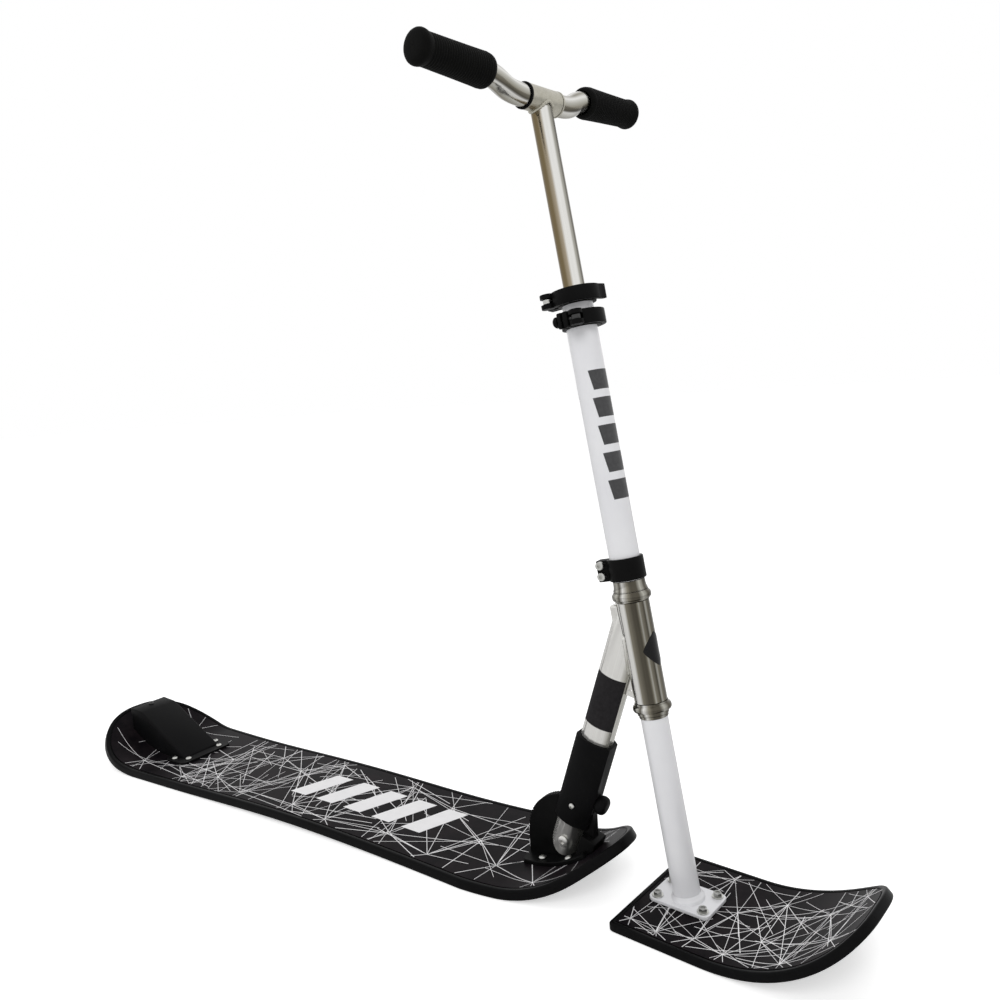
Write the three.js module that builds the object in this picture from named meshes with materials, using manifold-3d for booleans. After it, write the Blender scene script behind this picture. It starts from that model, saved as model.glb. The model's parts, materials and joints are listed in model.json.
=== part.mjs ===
// A folding snow scooter: a standing board, a short steering ski and a raked column.
// Millimetres, +X forward, +Y to the rider's left, +Z up. While the pieces are laid out,
// x is measured from the foot of the steering column and z from the snow; at the end the
// whole scooter is moved so that its origin is under the middle of its box.
import * as THREE from 'three';
import { mergeVertices } from 'three/addons/utils/BufferGeometryUtils.js';
import Module from 'manifold-3d';

const wasm = await Module();
wasm.setup();

const DEGREES = Math.PI / 180;
const QUARTER = Math.PI / 2;

// Fits shared by the whole scooter
const SEAT = 0.3;               // gap between two pieces that seat on each other
const OVERRUN = 6;              // how far a cutting body runs past what it cuts
const M5 = { shank: 2.5, hole: 2.9, capRadius: 4.25, capHeight: 5, socket: 2 };

// Steering geometry
const RAKE = 8.7 * DEGREES;
const STEER_AT_REST = -5.7 * DEGREES;

// Column tubes. The column is stacked from its foot: leg, headset, clamp, outer tube, stem.
const forkTube = { radius: 14.3, wall: 2.4, leg: 192.9, pastClamp: 29.4 };
const outerTube = { radius: 15.9, wall: 1.2, length: 303 };
const stemTube = { radius: 11.1, wall: 1.5, showing: 192, inserted: 133 };

// Standing board
const deckBoard = {
  halfWidth: 83.4, waistAt: -400, thickness: 10.6, rimWidth: 7, rimRise: 1.4, edgeRound: 2.5,
  camber: 4.5, contactLength: 66,
  rear: {
    start: -900, length: 104.5, power: 2.15, flat: 4, flare: 11.4,
    bendStart: -859.7, bendRadius: 161, bendAngle: 36.6 * DEGREES,
  },
  front: {
    start: -236, length: 190, power: 1.84, flat: 4, flare: 5.4,
    bendStart: -191, bendRadius: 154, bendAngle: 35 * DEGREES,
  },
};

// Steering ski
const skiBoard = {
  halfWidth: 78.5, waistAt: 0, thickness: 8.3, rimWidth: 6, rimRise: 1.2, edgeRound: 2,
  camber: 0, contactLength: 20,
  rear: {
    start: -40, length: 7.6, power: 2.6, flat: 73.5, flare: 0,
    bendStart: -47.6, bendRadius: 1, bendAngle: 0,
  },
  front: {
    start: 77, length: 142, power: 2.8, flat: 3, flare: 0,
    bendStart: 52, bendRadius: 192, bendAngle: 45.5 * DEGREES,
  },
};
const topSheet = { thickness: 0.8, margin: 0.4 };

// Plate that joins the column to the ski
const basePlate = { length: 69, width: 46.6, thickness: 4, corner: 7, boltInX: 8.5, boltInY: 7.3 };
const weld = { rise: 7, width: 4, topWidth: 1.1, kneeShare: 0.2 };

// Fold hinge and strut
const pivot = {
  x: -141, z: 45, boltRadius: 4, bushWall: 1.5, bossRadius: 8.5, headRadius: 6.5, headHeight: 2.2,
  crownShare: 0.7,
};
const strut = { depth: 34, width: 26, bulge: 25.5, wall: 3.2, meetsBelowHeadTop: 9 };
const sleeve = {
  depth: 42, width: 34, bulge: 31.6, bottom: 26, top: 131, screwAt: 48, screwRadius: 3.4,
};
const sector = {
  radius: 51, thickness: 10, frontAngle: 46 * DEGREES, rimClearance: 1, sideClearance: 0.7,
  teeth: 34, toothDepth: 1.1,
};
const hingePlate = { rear: -192, front: -98, thickness: 4.5, halfWidth: 24 };
const hingeBolt = { rear: 25, front: 25, rearY: 13.5, frontY: 18 };
const frontBlock = { near: 17.6, far: 37, low: -24, high: 19, halfWidth: 13 };
const lock = {
  pinRadius: 4, travel: 4, rise: 8, collarRadius: 7, collarHeight: 6, pinPastCollar: 6,
  studRadius: 2.8, knobRadius: 10.6, knobLength: 12,
  knobOutlineShares: [[0, 0], [0.8, 0], [1, 0.35], [0.9, 0.8], [0.6, 1], [0, 1]],
};
const lockSpring = { radius: 5.6, wire: 0.7, turns: 7, length: 26, stepsPerTurn: 8, sides: 5 };
const plug = { height: 7 };

// Head tube and headset
const headTube = { radius: 17, wall: 2, length: 105.5 };
const cup = { radius: 20.2, height: 10, bottomHeight: 13, bead: 1.6, lip: 15 };
const race = { inner: 14.7, outer: 17.6, height: 5, topWidth: 1 };
const crownRace = { radius: 16.6, height: 3 };
const dustCap = { low: 17.8, high: 16, height: 7.6, kneeShare: 0.25, neckShare: 0.6 };
const gusset = { thickness: 5, aboveTubeEnd: 1.3, reach: 11, hole: 2, holeShare: 0.8 };

// Clamps of the column
const stemClamp = {
  height: 27, radius: 19, earReach: 30, earThickness: 5.6, slit: 2.4, screwPitch: 13,
  screwEdge: 1, tubeLip: 1.4, slitAngle: -165 * DEGREES,
};
const collar = {
  height: 16, radius: 20, earReach: 31, earThickness: 5, slit: 3,
  lowerDrop: 32, upperDrop: 8, lowerAngle: -91 * DEGREES, upperAngle: -165 * DEGREES,
};
const lever = {
  boltAt: 26, camRadius: 7, camGap: 5.8, mouthDepth: 1, pinRadius: 1.6, eyeRadius: 4.6,
  eyeHeight: 5, clearance: 0.8, handle: 5, height: 15, sweep: 152 * DEGREES, tipFlare: 9,
  flareShare: 0.4,
};
const leverNut = { radius: 5.6, height: 5.3 };

// Handlebar
const crossTube = { radius: 12.5, halfLength: 24 };
const bar = {
  radius: 11.1, wall: 1.6, innerEnd: 2, bendStart: 29, bendEnd: 88, rise: 12.6, end: 168.5,
  endRise: 15.2, pullShare: 0.62, step: 7, sides: 16,
};
const barRing = { radius: 13.4, width: 3 };
const grip = {
  length: 92, radius: 15.4, groove: 14.5, flange: 17.2, flangeWidth: 9, innerFlange: 16.4,
  innerWidth: 3.6, innerFlatShare: 0.67, dome: 4, domeShare: 0.7, domeRadius: 14.6, ribs: 11,
};
const bush = { length: 20 };

// Heel wedge on the tail
const heel = {
  halfWidth: 31, toe: -817, toeHeight: 16.5, crest: -921, crestHeight: 72, back: -951,
  backHeight: 74.5, flangeFront: -801, flangeRear: -848, flangeHalf: 45, flangeThickness: 3,
  boltFrontX: -811, boltFrontY: 28, boltSideX: -832, boltSideY: 37.5, topBoltX: -941,
  topBoltLength: 9,
};
const roundHead = { radius: 4.4, height: 2.6, crownShare: 0.65, socketShare: 0.4 };
const insert = { floor: 1.6, gap: 1 };
const hexBolt = { across: 8, height: 3.6, washerRadius: 6, washerHeight: 1.1 };

// Finishes
const finish = (color, roughness, metalness) =>
  new THREE.MeshStandardMaterial({ color, roughness, metalness });
const blackGloss = finish(0x101012, 0.3, 0);
const blackSatin = finish(0x17171a, 0.5, 0);
const printedBlack = finish(0x1c1a1d, 0.4, 0);
const whitePaint = finish(0xeeeeee, 0.35, 0);
const polished = finish(0xc9c9c6, 0.2, 1);
const steel = finish(0xb9b9b6, 0.3, 1);
const rubber = finish(0x0f0f10, 0.8, 0);

// Solids and meshes
function toSolid(geometry) {
  const bare = geometry.clone();
  bare.deleteAttribute('normal');
  bare.deleteAttribute('uv');
  const merged = mergeVertices(bare, 1e-4);
  return new wasm.Manifold(new wasm.Mesh({
    numProp: 3,
    vertProperties: new Float32Array(merged.attributes.position.array),
    triVerts: new Uint32Array(merged.index.array),
  }));
}

function toGeometry(solid) {
  const { vertProperties, triVerts } = solid.getMesh();
  const geometry = new THREE.BufferGeometry();
  geometry.setAttribute('position', new THREE.BufferAttribute(new Float32Array(vertProperties), 3));
  geometry.setIndex(new THREE.BufferAttribute(new Uint32Array(triVerts), 1));
  geometry.computeVertexNormals();
  return geometry;
}

// One piece from bodies that are joined, then cut.
function shaped(joined, cuts = []) {
  let solid = joined.map(toSolid).reduce((whole, next) => whole.add(next));
  for (const cut of cuts) solid = solid.subtract(toSolid(cut));
  return toGeometry(solid);
}

function piece(name, geometry, material) {
  const mesh = new THREE.Mesh(geometry, material);
  mesh.name = name;
  return mesh;
}

// A set of like fasteners, numbered, each moved to its own place.
const numbered = (name, geometry, places, material) => places.map((matrix, place) =>
  piece(`${name}_${place + 1}`, geometry.clone().applyMatrix4(matrix), material));
const at = (x, y, z) => new THREE.Matrix4().makeTranslation(x, y, z);

// Bodies of revolution and bars stand on +Z.
const rod = (radius, from, to, sides = 16) =>
  new THREE.CylinderGeometry(radius, radius, to - from, sides)
    .rotateX(QUARTER).translate(0, 0, (from + to) / 2);
const turned = (profile, sides = 18) => {
  const points = profile.map(([radius, height]) => new THREE.Vector2(radius, height));
  return new THREE.LatheGeometry(points, sides).rotateX(QUARTER);
};
const ring = (inner, outer, from, to, sides = 20) =>
  turned([[inner, from], [outer, from], [outer, to], [inner, to], [inner, from]], sides);
const block = (x0, x1, y0, y1, z0, z1) =>
  new THREE.BoxGeometry(x1 - x0, y1 - y0, z1 - z0)
    .translate((x0 + x1) / 2, (y0 + y1) / 2, (z0 + z1) / 2);

// A drawing in the x-z plane given a width across y.
const acrossY = (shape, width, curveSegments = 12) =>
  new THREE.ExtrudeGeometry(shape, { depth: width, bevelEnabled: false, curveSegments })
    .rotateX(QUARTER).translate(0, width / 2, 0);
const polygon = (points) => new THREE.Shape(points.map(([x, y]) => new THREE.Vector2(x, y)));

function roundedRectangle(length, width, radius) {
  const x = length / 2 - radius;
  const y = width / 2 - radius;
  const shape = new THREE.Shape();
  shape.absarc(x, y, radius, 0, QUARTER);
  shape.absarc(-x, y, radius, QUARTER, Math.PI);
  shape.absarc(-x, -y, radius, Math.PI, 3 * QUARTER);
  shape.absarc(x, -y, radius, 3 * QUARTER, 4 * QUARTER);
  return shape;
}

// Section of the strut: flat front and back, bulged sides.
function barrel({ depth, width, bulge }) {
  const centre = width / 2 - bulge;
  const flat = centre + Math.sqrt(bulge ** 2 - (depth / 2) ** 2);
  const edge = Math.atan2(flat - centre, depth / 2);
  const shape = new THREE.Shape();
  shape.moveTo(depth / 2, -flat);
  shape.lineTo(depth / 2, flat);
  shape.absarc(0, centre, bulge, edge, Math.PI - edge);
  shape.lineTo(-depth / 2, -flat);
  shape.absarc(0, -centre, bulge, Math.PI + edge, 2 * Math.PI - edge);
  return shape;
}
const inward = ({ depth, width, bulge }, wall) =>
  ({ depth: depth - 2 * wall, width: width - 2 * wall, bulge: bulge - wall });
const barrelBar = (size, from, to) =>
  new THREE.ExtrudeGeometry(barrel(size), { depth: to - from, bevelEnabled: false, curveSegments: 7 })
    .translate(0, 0, from);

// Boards: a slab whose plan has superellipse ends and whose underside follows a bent line.
function bendAt(board, along) {
  if (along >= board.rear.bendStart && along <= board.front.bendStart) {
    const from = board.rear.bendStart + board.contactLength;
    const to = board.front.bendStart - board.contactLength;
    const share = THREE.MathUtils.clamp((along - from) / (to - from), 0, 1);
    return { x: along, z: board.camber * Math.sin(Math.PI * share) ** 2, slope: 0 };
  }
  const end = along > board.front.bendStart ? board.front : board.rear;
  const side = Math.sign(along - end.bendStart);
  const run = Math.abs(along - end.bendStart);
  const turn = Math.min(run / end.bendRadius, end.bendAngle);
  const straight = run - turn * end.bendRadius;
  return {
    x: end.bendStart + side * (end.bendRadius * Math.sin(turn) + straight * Math.cos(turn)),
    z: end.bendRadius * (1 - Math.cos(turn)) + straight * Math.sin(turn),
    slope: side * turn,
  };
}

function boardPoint(board, along, y, height) {
  const { x, z, slope } = bendAt(board, along);
  return [x - height * Math.sin(slope), y, z + height * Math.cos(slope)];
}

// Boards are narrowest at the waist and flare towards both ends.
function halfWidthAt(board, along) {
  const end = along < board.waistAt ? board.rear : board.front;
  const share = THREE.MathUtils.clamp((along - board.waistAt) / (end.start - board.waistAt), 0, 1);
  return board.halfWidth + end.flare * share ** 2;
}

// Place along the board and half width there, for an outline drawn in by an inset.
function outlineAt(board, along, inset) {
  const full = halfWidthAt(board, along) - inset;
  for (const [end, side] of [[board.front, 1], [board.rear, -1]]) {
    const share = side * (along - end.start) / end.length;
    if (share > 0) {
      const fall = (1 - Math.min(share, 1) ** end.power) ** (1 / end.power);
      const flat = Math.min(end.flat, full);
      return [end.start + side * share * (end.length - inset), flat + (full - flat) * fall];
    }
  }
  return [along, full];
}

// Stations from the rear to the front: finer where the outline or the bend is tight.
function boardStations(board, endSteps = 9, camberSteps = 6, bendSteps = 4) {
  const stations = new Set();
  const from = board.rear.bendStart + board.contactLength;
  const to = board.front.bendStart - board.contactLength;
  for (const [end, side] of [[board.rear, -1], [board.front, 1]]) {
    for (let step = 0; step <= endSteps; step += 1) {
      const share = Math.sin((QUARTER * step) / endSteps) ** (2 / end.power);
      stations.add(end.start + side * end.length * share);
    }
    const tip = end.start + side * end.length;
    for (let step = 0; step <= bendSteps; step += 1) {
      const along = end.bendStart + (side * end.bendRadius * end.bendAngle * step) / bendSteps;
      if (side * (tip - along) > 0) stations.add(along);
    }
  }
  for (let step = 0; step <= camberSteps; step += 1) {
    stations.add(from + ((to - from) * step) / camberSteps);
  }
  const sorted = [...stations].sort((a, b) => a - b);
  return sorted.filter((along, index) =>
    index === 0 || along - sorted[index - 1] > board.edgeRound / 2);
}

// Closed slab through layers of [inset, height], from the underside up to the top face.
function boardSolid(board, layers, stations = boardStations(board)) {
  const positions = [];
  const count = stations.length;
  for (const [inset, height] of layers) {
    const left = stations.map((along) => outlineAt(board, along, inset));
    for (const [along, y] of left) positions.push(...boardPoint(board, along, y, height));
    for (const [along, y] of [...left].reverse()) positions.push(...boardPoint(board, along, -y, height));
  }
  const index = [];
  const around = 2 * count;
  for (let layer = 0; layer + 1 < layers.length; layer += 1) {
    for (let step = 0; step < around; step += 1) {
      const a = layer * around + step;
      const b = layer * around + ((step + 1) % around);
      index.push(a, a + around, b + around, a, b + around, b);
    }
  }
  const top = (layers.length - 1) * around;
  for (let step = 0; step + 1 < count; step += 1) {
    const right = around - 1 - step;
    index.push(step, step + 1, right - 1, step, right - 1, right);
    index.push(top + step, top + right, top + right - 1);
    index.push(top + step, top + right - 1, top + step + 1);
  }
  const geometry = new THREE.BufferGeometry();
  geometry.setAttribute('position', new THREE.BufferAttribute(new Float32Array(positions), 3));
  geometry.setIndex(index);
  geometry.computeVertexNormals();
  return geometry;
}

const rimmedBoard = (board) => {
  const { thickness, edgeRound, rimWidth, rimRise } = board;
  const rimTop = thickness + rimRise;
  return boardSolid(board, [
    [edgeRound, 0], [0, edgeRound], [0, rimTop - edgeRound], [edgeRound, rimTop],
    [rimWidth - rimRise, rimTop], [rimWidth, thickness],
  ]);
};
const sheetOn = (board) => {
  const inset = board.rimWidth + topSheet.margin;
  return boardSolid(board, [[inset, board.thickness + SEAT], [inset, sheetTop(board)]]);
};
const sheetTop = (board) => board.thickness + SEAT + topSheet.thickness;

// The space taken by a board up to a height, for seating a piece on its bent top face.
const boardSpace = (board, height) => boardSolid(board, [[0, -heel.crestHeight], [0, height]]);

// A straight-sided plate that follows the bent top face of a board.
function bentPlate(board, rear, front, halfWidth, low, thickness, steps = 8) {
  const strip = {
    ...board, halfWidth, waistAt: (rear + front) / 2,
    rear: { ...board.rear, start: rear, flare: 0 },
    front: { ...board.front, start: front, flare: 0 },
  };
  const stations = Array.from({ length: steps + 1 }, (_, step) =>
    rear + ((front - rear) * step) / steps);
  return boardSolid(strip, [[0, low], [0, low + thickness]], stations);
}

// Matrix that stands a fastener square on the bent top face of a board.
function onBoard(board, along, y, height) {
  const { slope } = bendAt(board, along);
  return new THREE.Matrix4().makeTranslation(...boardPoint(board, along, y, height))
    .multiply(new THREE.Matrix4().makeRotationY(-slope));
}

// Fasteners, standing on z = 0 with the shank below.
const domedBolt = (shank) => shaped([
  turned([[0, -shank], [M5.shank, -shank], [M5.shank, 0], [roundHead.radius, 0],
    [roundHead.radius * roundHead.crownShare, roundHead.height], [0, roundHead.height]], 10),
], [rod(M5.socket, roundHead.height * roundHead.socketShare, roundHead.height + OVERRUN, 6)]);
const hexagonBolt = (shank) => {
  const { across, height, washerRadius, washerHeight } = hexBolt;
  return shaped([
    rod(M5.shank, -shank, washerHeight, 8),
    rod(washerRadius, 0, washerHeight, 14),
    rod(across / 2 / Math.cos(QUARTER / 3), washerHeight / 2, washerHeight + height, 6),
  ]);
};
const capScrew = (shank) => shaped([
  rod(M5.shank, -shank, M5.capHeight / 2, 10), rod(M5.capRadius, 0, M5.capHeight, 10),
], [rod(M5.socket, M5.capHeight / 2, M5.capHeight + OVERRUN, 6)]);
// Threaded nuts are moulded into the boards, so a board has a blind bore for each bolt.
const boresAt = (board, spots) => spots.map(([along, y]) =>
  rod(M5.hole, insert.floor, board.thickness + OVERRUN, 10).applyMatrix4(onBoard(board, along, y, 0)));
const holesAt = (board, spots) => spots.map(([along, y]) =>
  rod(M5.hole, -OVERRUN, OVERRUN, 10).applyMatrix4(onBoard(board, along, y, board.thickness)));

// Board, heel wedge and hinge base
const mirrored = (x, y) => [[x, y], [x, -y]];
const heelSpots = [
  ...mirrored(heel.boltFrontX, heel.boltFrontY), ...mirrored(heel.boltSideX, heel.boltSideY),
];
const hingeSpots = [
  ...mirrored(hingePlate.rear + hingeBolt.rear, hingeBolt.rearY),
  ...mirrored(hingePlate.front - hingeBolt.front, hingeBolt.frontY),
];
const deckSpots = [...heelSpots, ...hingeSpots];
const deckTop = sheetTop(deckBoard);

// The wedge's own screw stands square on its top face.
const topFall = (heel.backHeight - heel.crestHeight) / (heel.crest - heel.back);
const topBoltHeight = heel.backHeight - topFall * (heel.topBoltX - heel.back);
const topBoltTilt = Math.atan(topFall);

function heelWedge() {
  const side = polygon([
    [heel.toe, -OVERRUN], [heel.toe, heel.toeHeight], [heel.crest, heel.crestHeight],
    [heel.back, heel.backHeight], [heel.back, -OVERRUN],
  ]);
  const flange = bentPlate(deckBoard, heel.flangeRear, heel.flangeFront, heel.flangeHalf,
    deckTop + SEAT, heel.flangeThickness);
  const topScrew = rod(M5.hole, -heel.topBoltLength - SEAT, OVERRUN, 10).rotateY(topBoltTilt);
  return shaped([acrossY(side, 2 * heel.halfWidth), flange], [
    boardSpace(deckBoard, deckTop + SEAT), ...holesAt(deckBoard, heelSpots),
    topScrew.translate(heel.topBoltX, 0, topBoltHeight),
  ]);
}
const flangeTop = deckTop + SEAT + heel.flangeThickness + SEAT;
const plateTop = deckTop + SEAT + hingePlate.thickness + SEAT;
// A bolt reaches nearly to the floor of its blind bore.
const boltThrough = (seat) => seat - insert.floor - insert.gap;

// The ski turns on a raked axis, so its near edge dips: it is lifted by that much.
const columnAxis = new THREE.Vector3(-Math.sin(RAKE), 0, Math.cos(RAKE));
const skiStack = sheetTop(skiBoard) + SEAT + basePlate.thickness;
const skiLift = Math.max(...[-1, 1].flatMap((side) =>
  [skiBoard.rear.bendStart, skiBoard.front.bendStart].map((x) => {
    const corner = new THREE.Vector3(x, side * skiBoard.halfWidth, -skiStack);
    return -skiStack - corner.applyAxisAngle(columnAxis, STEER_AT_REST).z;
  })));
const foot = new THREE.Vector3(0, 0, skiLift + skiStack);

// Heights up the column, stacked from its foot
const crownAt = forkTube.leg;
const lowerCupFrom = crownAt + crownRace.height + SEAT;
const lowerCupTo = lowerCupFrom + cup.bottomHeight;
const headBottom = lowerCupTo + SEAT;
const headTop = headBottom + headTube.length;
const upperCupFrom = headTop + SEAT;
const dustAt = upperCupFrom + cup.height + SEAT;
const clampAt = dustAt + dustCap.height + SEAT;
const forkTop = clampAt + stemClamp.height + forkTube.pastClamp;
const outerFoot = clampAt + stemClamp.tubeLip;
const outerTop = outerFoot + outerTube.length;
const stemFoot = outerTop - stemTube.inserted;
const barHeight = outerTop + stemTube.showing;
const strutMeetsAt = headTop - strut.meetsBelowHeadTop;

const strutHalfInner = strut.width / 2 - strut.wall;
// The bosses at the pivot are as wide as the strut's curved cheeks leave them.
const cheekCurve = strut.bulge - strut.wall;
const cheekFall = cheekCurve - Math.sqrt(cheekCurve ** 2 - pivot.bossRadius ** 2);
const bossHalf = strutHalfInner - cheekFall - SEAT;
const hinge = new THREE.Vector3(pivot.x, 0, pivot.z);
const meeting = foot.clone().addScaledVector(columnAxis, strutMeetsAt);
const strutLean = Math.atan2(meeting.x - hinge.x, meeting.z - hinge.z);
const strutLength = meeting.distanceTo(hinge);
const foldedTurn = QUARTER - RAKE;

// Casting on the board: plate, toothed quarter disc and the block that the strut leans on.
function hingeBase() {
  const { radius, toothDepth, teeth, frontAngle } = sector;
  const atPivot = (geometry) => geometry.translate(pivot.x, 0, pivot.z);
  const upright = QUARTER - strutLean;
  const quarter = new THREE.Shape();
  quarter.moveTo(radius * Math.cos(frontAngle), radius * Math.sin(frontAngle));
  const toothTurn = (Math.PI - frontAngle) / teeth;
  for (let tooth = 0; tooth < teeth; tooth += 1) {
    const root = frontAngle + toothTurn * tooth;
    const tip = root + toothTurn / 2;
    quarter.lineTo((radius - toothDepth) * Math.cos(root), (radius - toothDepth) * Math.sin(root));
    quarter.lineTo(radius * Math.cos(tip), radius * Math.sin(tip));
  }
  quarter.lineTo(-radius, 0);
  quarter.lineTo(-radius, -pivot.z);
  quarter.lineTo(frontBlock.far * Math.cos(strutLean), -pivot.z);
  const { near, far, low, high, halfWidth } = frontBlock;
  const stop = block(near, far, -halfWidth, halfWidth, low, high).rotateY(strutLean);
  const boss = rod(pivot.bossRadius, -bossHalf, bossHalf, 18).rotateX(QUARTER);
  const bore = rod(pivot.boltRadius + pivot.bushWall + SEAT, -strut.width, strut.width);
  const notch = (angle) =>
    rod(lock.pinRadius + SEAT, radius - lock.travel, radius + OVERRUN, 12).rotateY(QUARTER - angle);
  const plate = bentPlate(deckBoard, hingePlate.rear, hingePlate.front, hingePlate.halfWidth,
    deckTop + SEAT, hingePlate.thickness);
  return shaped([atPivot(acrossY(quarter, sector.thickness)), atPivot(boss), atPivot(stop), plate], [
    boardSpace(deckBoard, deckTop + SEAT), atPivot(bore.rotateX(QUARTER)),
    atPivot(notch(upright)), atPivot(notch(upright + foldedTurn)),
    ...holesAt(deckBoard, hingeSpots),
  ]);
}

const deckGroup = new THREE.Group();
deckGroup.add(
  piece('deck_board', shaped([rimmedBoard(deckBoard)], boresAt(deckBoard, deckSpots)), blackGloss),
  piece('deck_top_sheet', shaped([sheetOn(deckBoard)], holesAt(deckBoard, deckSpots)), printedBlack),
  piece('heel_wedge', heelWedge(), blackSatin),
  ...numbered('heel_wedge_bolt', domedBolt(boltThrough(flangeTop)),
    heelSpots.map(([along, y]) => onBoard(deckBoard, along, y, flangeTop)), steel),
  piece('heel_wedge_screw', domedBolt(heel.topBoltLength).rotateY(topBoltTilt)
    .translate(heel.topBoltX, 0, topBoltHeight + SEAT), steel),
  piece('hinge_base', hingeBase(), blackSatin),
  ...numbered('hinge_bolt', domedBolt(boltThrough(plateTop)),
    hingeSpots.map(([along, y]) => onBoard(deckBoard, along, y, plateTop)), steel),
  piece('pivot_bush', ring(pivot.boltRadius + SEAT, pivot.boltRadius + pivot.bushWall,
    -bossHalf, bossHalf, 18).rotateX(QUARTER).translate(pivot.x, 0, pivot.z), steel),
);

// Strut, sleeve and lock, laid out from the pivot with +Z up the strut
const strutInner = inward(strut, strut.wall);
const sleeveInner = inward(strut, -SEAT);
const slotHalf = sector.thickness / 2 + sector.sideClearance;
const slotTop = sector.radius + sector.rimClearance;
const pinTip = sector.radius + SEAT;
const studAt = pinTip + lock.rise;
const studSlot = (depth) => block(0, depth, -lock.studRadius - SEAT, lock.studRadius + SEAT,
  studAt - lock.travel - lock.studRadius - SEAT, studAt + lock.studRadius + SEAT);
const columnCut = () => rod(headTube.radius + SEAT, -strutLength, strutLength, 22)
  .rotateY(-RAKE - strutLean).translate(0, 0, strutLength);
const sleeveScrewHoles = () => [-1, 1].map((side) =>
  rod(sleeve.screwRadius / 2 + SEAT, 0, sleeve.width, 10)
    .rotateX(-side * QUARTER).translate(0, 0, sleeve.screwAt));

function strutTube() {
  const rounding = strut.depth / 2;
  const round = toSolid(rod(rounding, -strut.width, strut.width, 22).rotateX(QUARTER));
  const above = toSolid(block(-rounding, rounding, -strut.width, strut.width, 0, strutLength));
  const whole = toSolid(barrelBar(strut, -rounding, strutLength)).intersect(round.add(above));
  const cuts = [
    barrelBar(strutInner, -strut.depth, strutLength + OVERRUN),
    block(-strut.depth, strut.depth, -slotHalf, slotHalf, -strut.depth, slotTop),
    studSlot(strut.depth),
    columnCut(),
    rod(pivot.boltRadius + SEAT, -strut.width, strut.width, 18).rotateX(QUARTER),
    ...sleeveScrewHoles(),
  ];
  return toGeometry(cuts.reduce((solid, cut) => solid.subtract(toSolid(cut)), whole));
}

function strutSleeve() {
  return shaped([barrelBar(sleeve, sleeve.bottom, sleeve.top)], [
    barrelBar(sleeveInner, sleeve.bottom - OVERRUN, sleeve.top + OVERRUN),
    block(-sleeve.depth, sleeve.depth, -slotHalf, slotHalf, 0, slotTop),
    studSlot(sleeve.depth),
    ...sleeveScrewHoles(),
  ]);
}

// The pivot is a shoulder bolt from the right with a cap nut on the left.
const pivotFace = strut.width / 2 + SEAT;
const pivotHead = [
  [pivot.headRadius, pivotFace + pivot.headHeight / 2],
  [pivot.headRadius * pivot.crownShare, pivotFace + pivot.headHeight], [0, pivotFace + pivot.headHeight],
];
const pivotBolt = turned([
  [0, -strut.width / 2], [pivot.boltRadius, -strut.width / 2], [pivot.boltRadius, pivotFace],
  [pivot.headRadius, pivotFace], ...pivotHead,
]).rotateX(QUARTER);
const pivotNut = turned([[0, pivotFace], [pivot.headRadius, pivotFace], ...pivotHead]).rotateX(-QUARTER);

// Lock pin with its collar, the stud and the knob on it, drawn lifted out of its notch.
const collarTop = studAt + lock.collarHeight / 2;
const lockPin = () => shaped([
  rod(lock.pinRadius, pinTip, collarTop + lock.pinPastCollar, 18),
  rod(lock.collarRadius, collarTop - lock.collarHeight, collarTop, 18),
  rod(lock.studRadius, 0, sleeve.depth / 2 + lock.knobLength / 2, 10)
    .rotateY(QUARTER).translate(0, 0, studAt),
]);
const knobBack = sleeve.depth / 2 + SEAT;
const knobOutline = lock.knobOutlineShares.map(([out, along]) =>
  [lock.knobRadius * out, lock.knobLength * along]);
const releaseKnob = () => shaped([turned(knobOutline)], [
  rod(lock.studRadius + SEAT, -OVERRUN, lock.knobLength / 2, 10),
]).rotateY(QUARTER).translate(knobBack, 0, studAt);

// A helical spring above the lock pin's collar, one unbroken wire.
function helicalSpring({ radius, wire, turns, length, stepsPerTurn, sides }, from) {
  const steps = turns * stepsPerTurn;
  const positions = [];
  for (let step = 0; step <= steps; step += 1) {
    const angle = (step / stepsPerTurn) * 2 * Math.PI;
    const height = from + wire + ((length - 2 * wire) * step) / steps;
    for (let side = 0; side < sides; side += 1) {
      const around = (side / sides) * 2 * Math.PI;
      const reach = radius + wire * Math.cos(around);
      positions.push(reach * Math.cos(angle), reach * Math.sin(angle), height + wire * Math.sin(around));
    }
  }
  const index = [];
  for (let step = 0; step < steps; step += 1) {
    for (let side = 0; side < sides; side += 1) {
      const a = step * sides + side;
      const b = step * sides + ((side + 1) % sides);
      index.push(a, a + sides, b + sides, a, b + sides, b);
    }
  }
  for (let side = 1; side + 1 < sides; side += 1) {
    index.push(0, side, side + 1);
    const last = steps * sides;
    index.push(last, last + side + 1, last + side);
  }
  const geometry = new THREE.BufferGeometry();
  geometry.setAttribute('position', new THREE.BufferAttribute(new Float32Array(positions), 3));
  geometry.setIndex(index);
  geometry.computeVertexNormals();
  return geometry;
}
const springFoot = collarTop + SEAT;
const plugFoot = springFoot + lockSpring.length + SEAT;
const springPlug = () => shaped([
  barrelBar(inward(strut, strut.wall + SEAT), plugFoot, plugFoot + plug.height),
]);

// The sleeve's screws are smaller round-head bolts, driven into the strut's cheeks.
const sleeveScrewScale = sleeve.screwRadius / roundHead.radius;
const sleeveScrew = (side) => domedBolt(sleeve.width / 2 - strutHalfInner)
  .scale(sleeveScrewScale, sleeveScrewScale, 1)
  .rotateX(-side * QUARTER).translate(0, side * (sleeve.width / 2 + SEAT), sleeve.screwAt);

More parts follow.
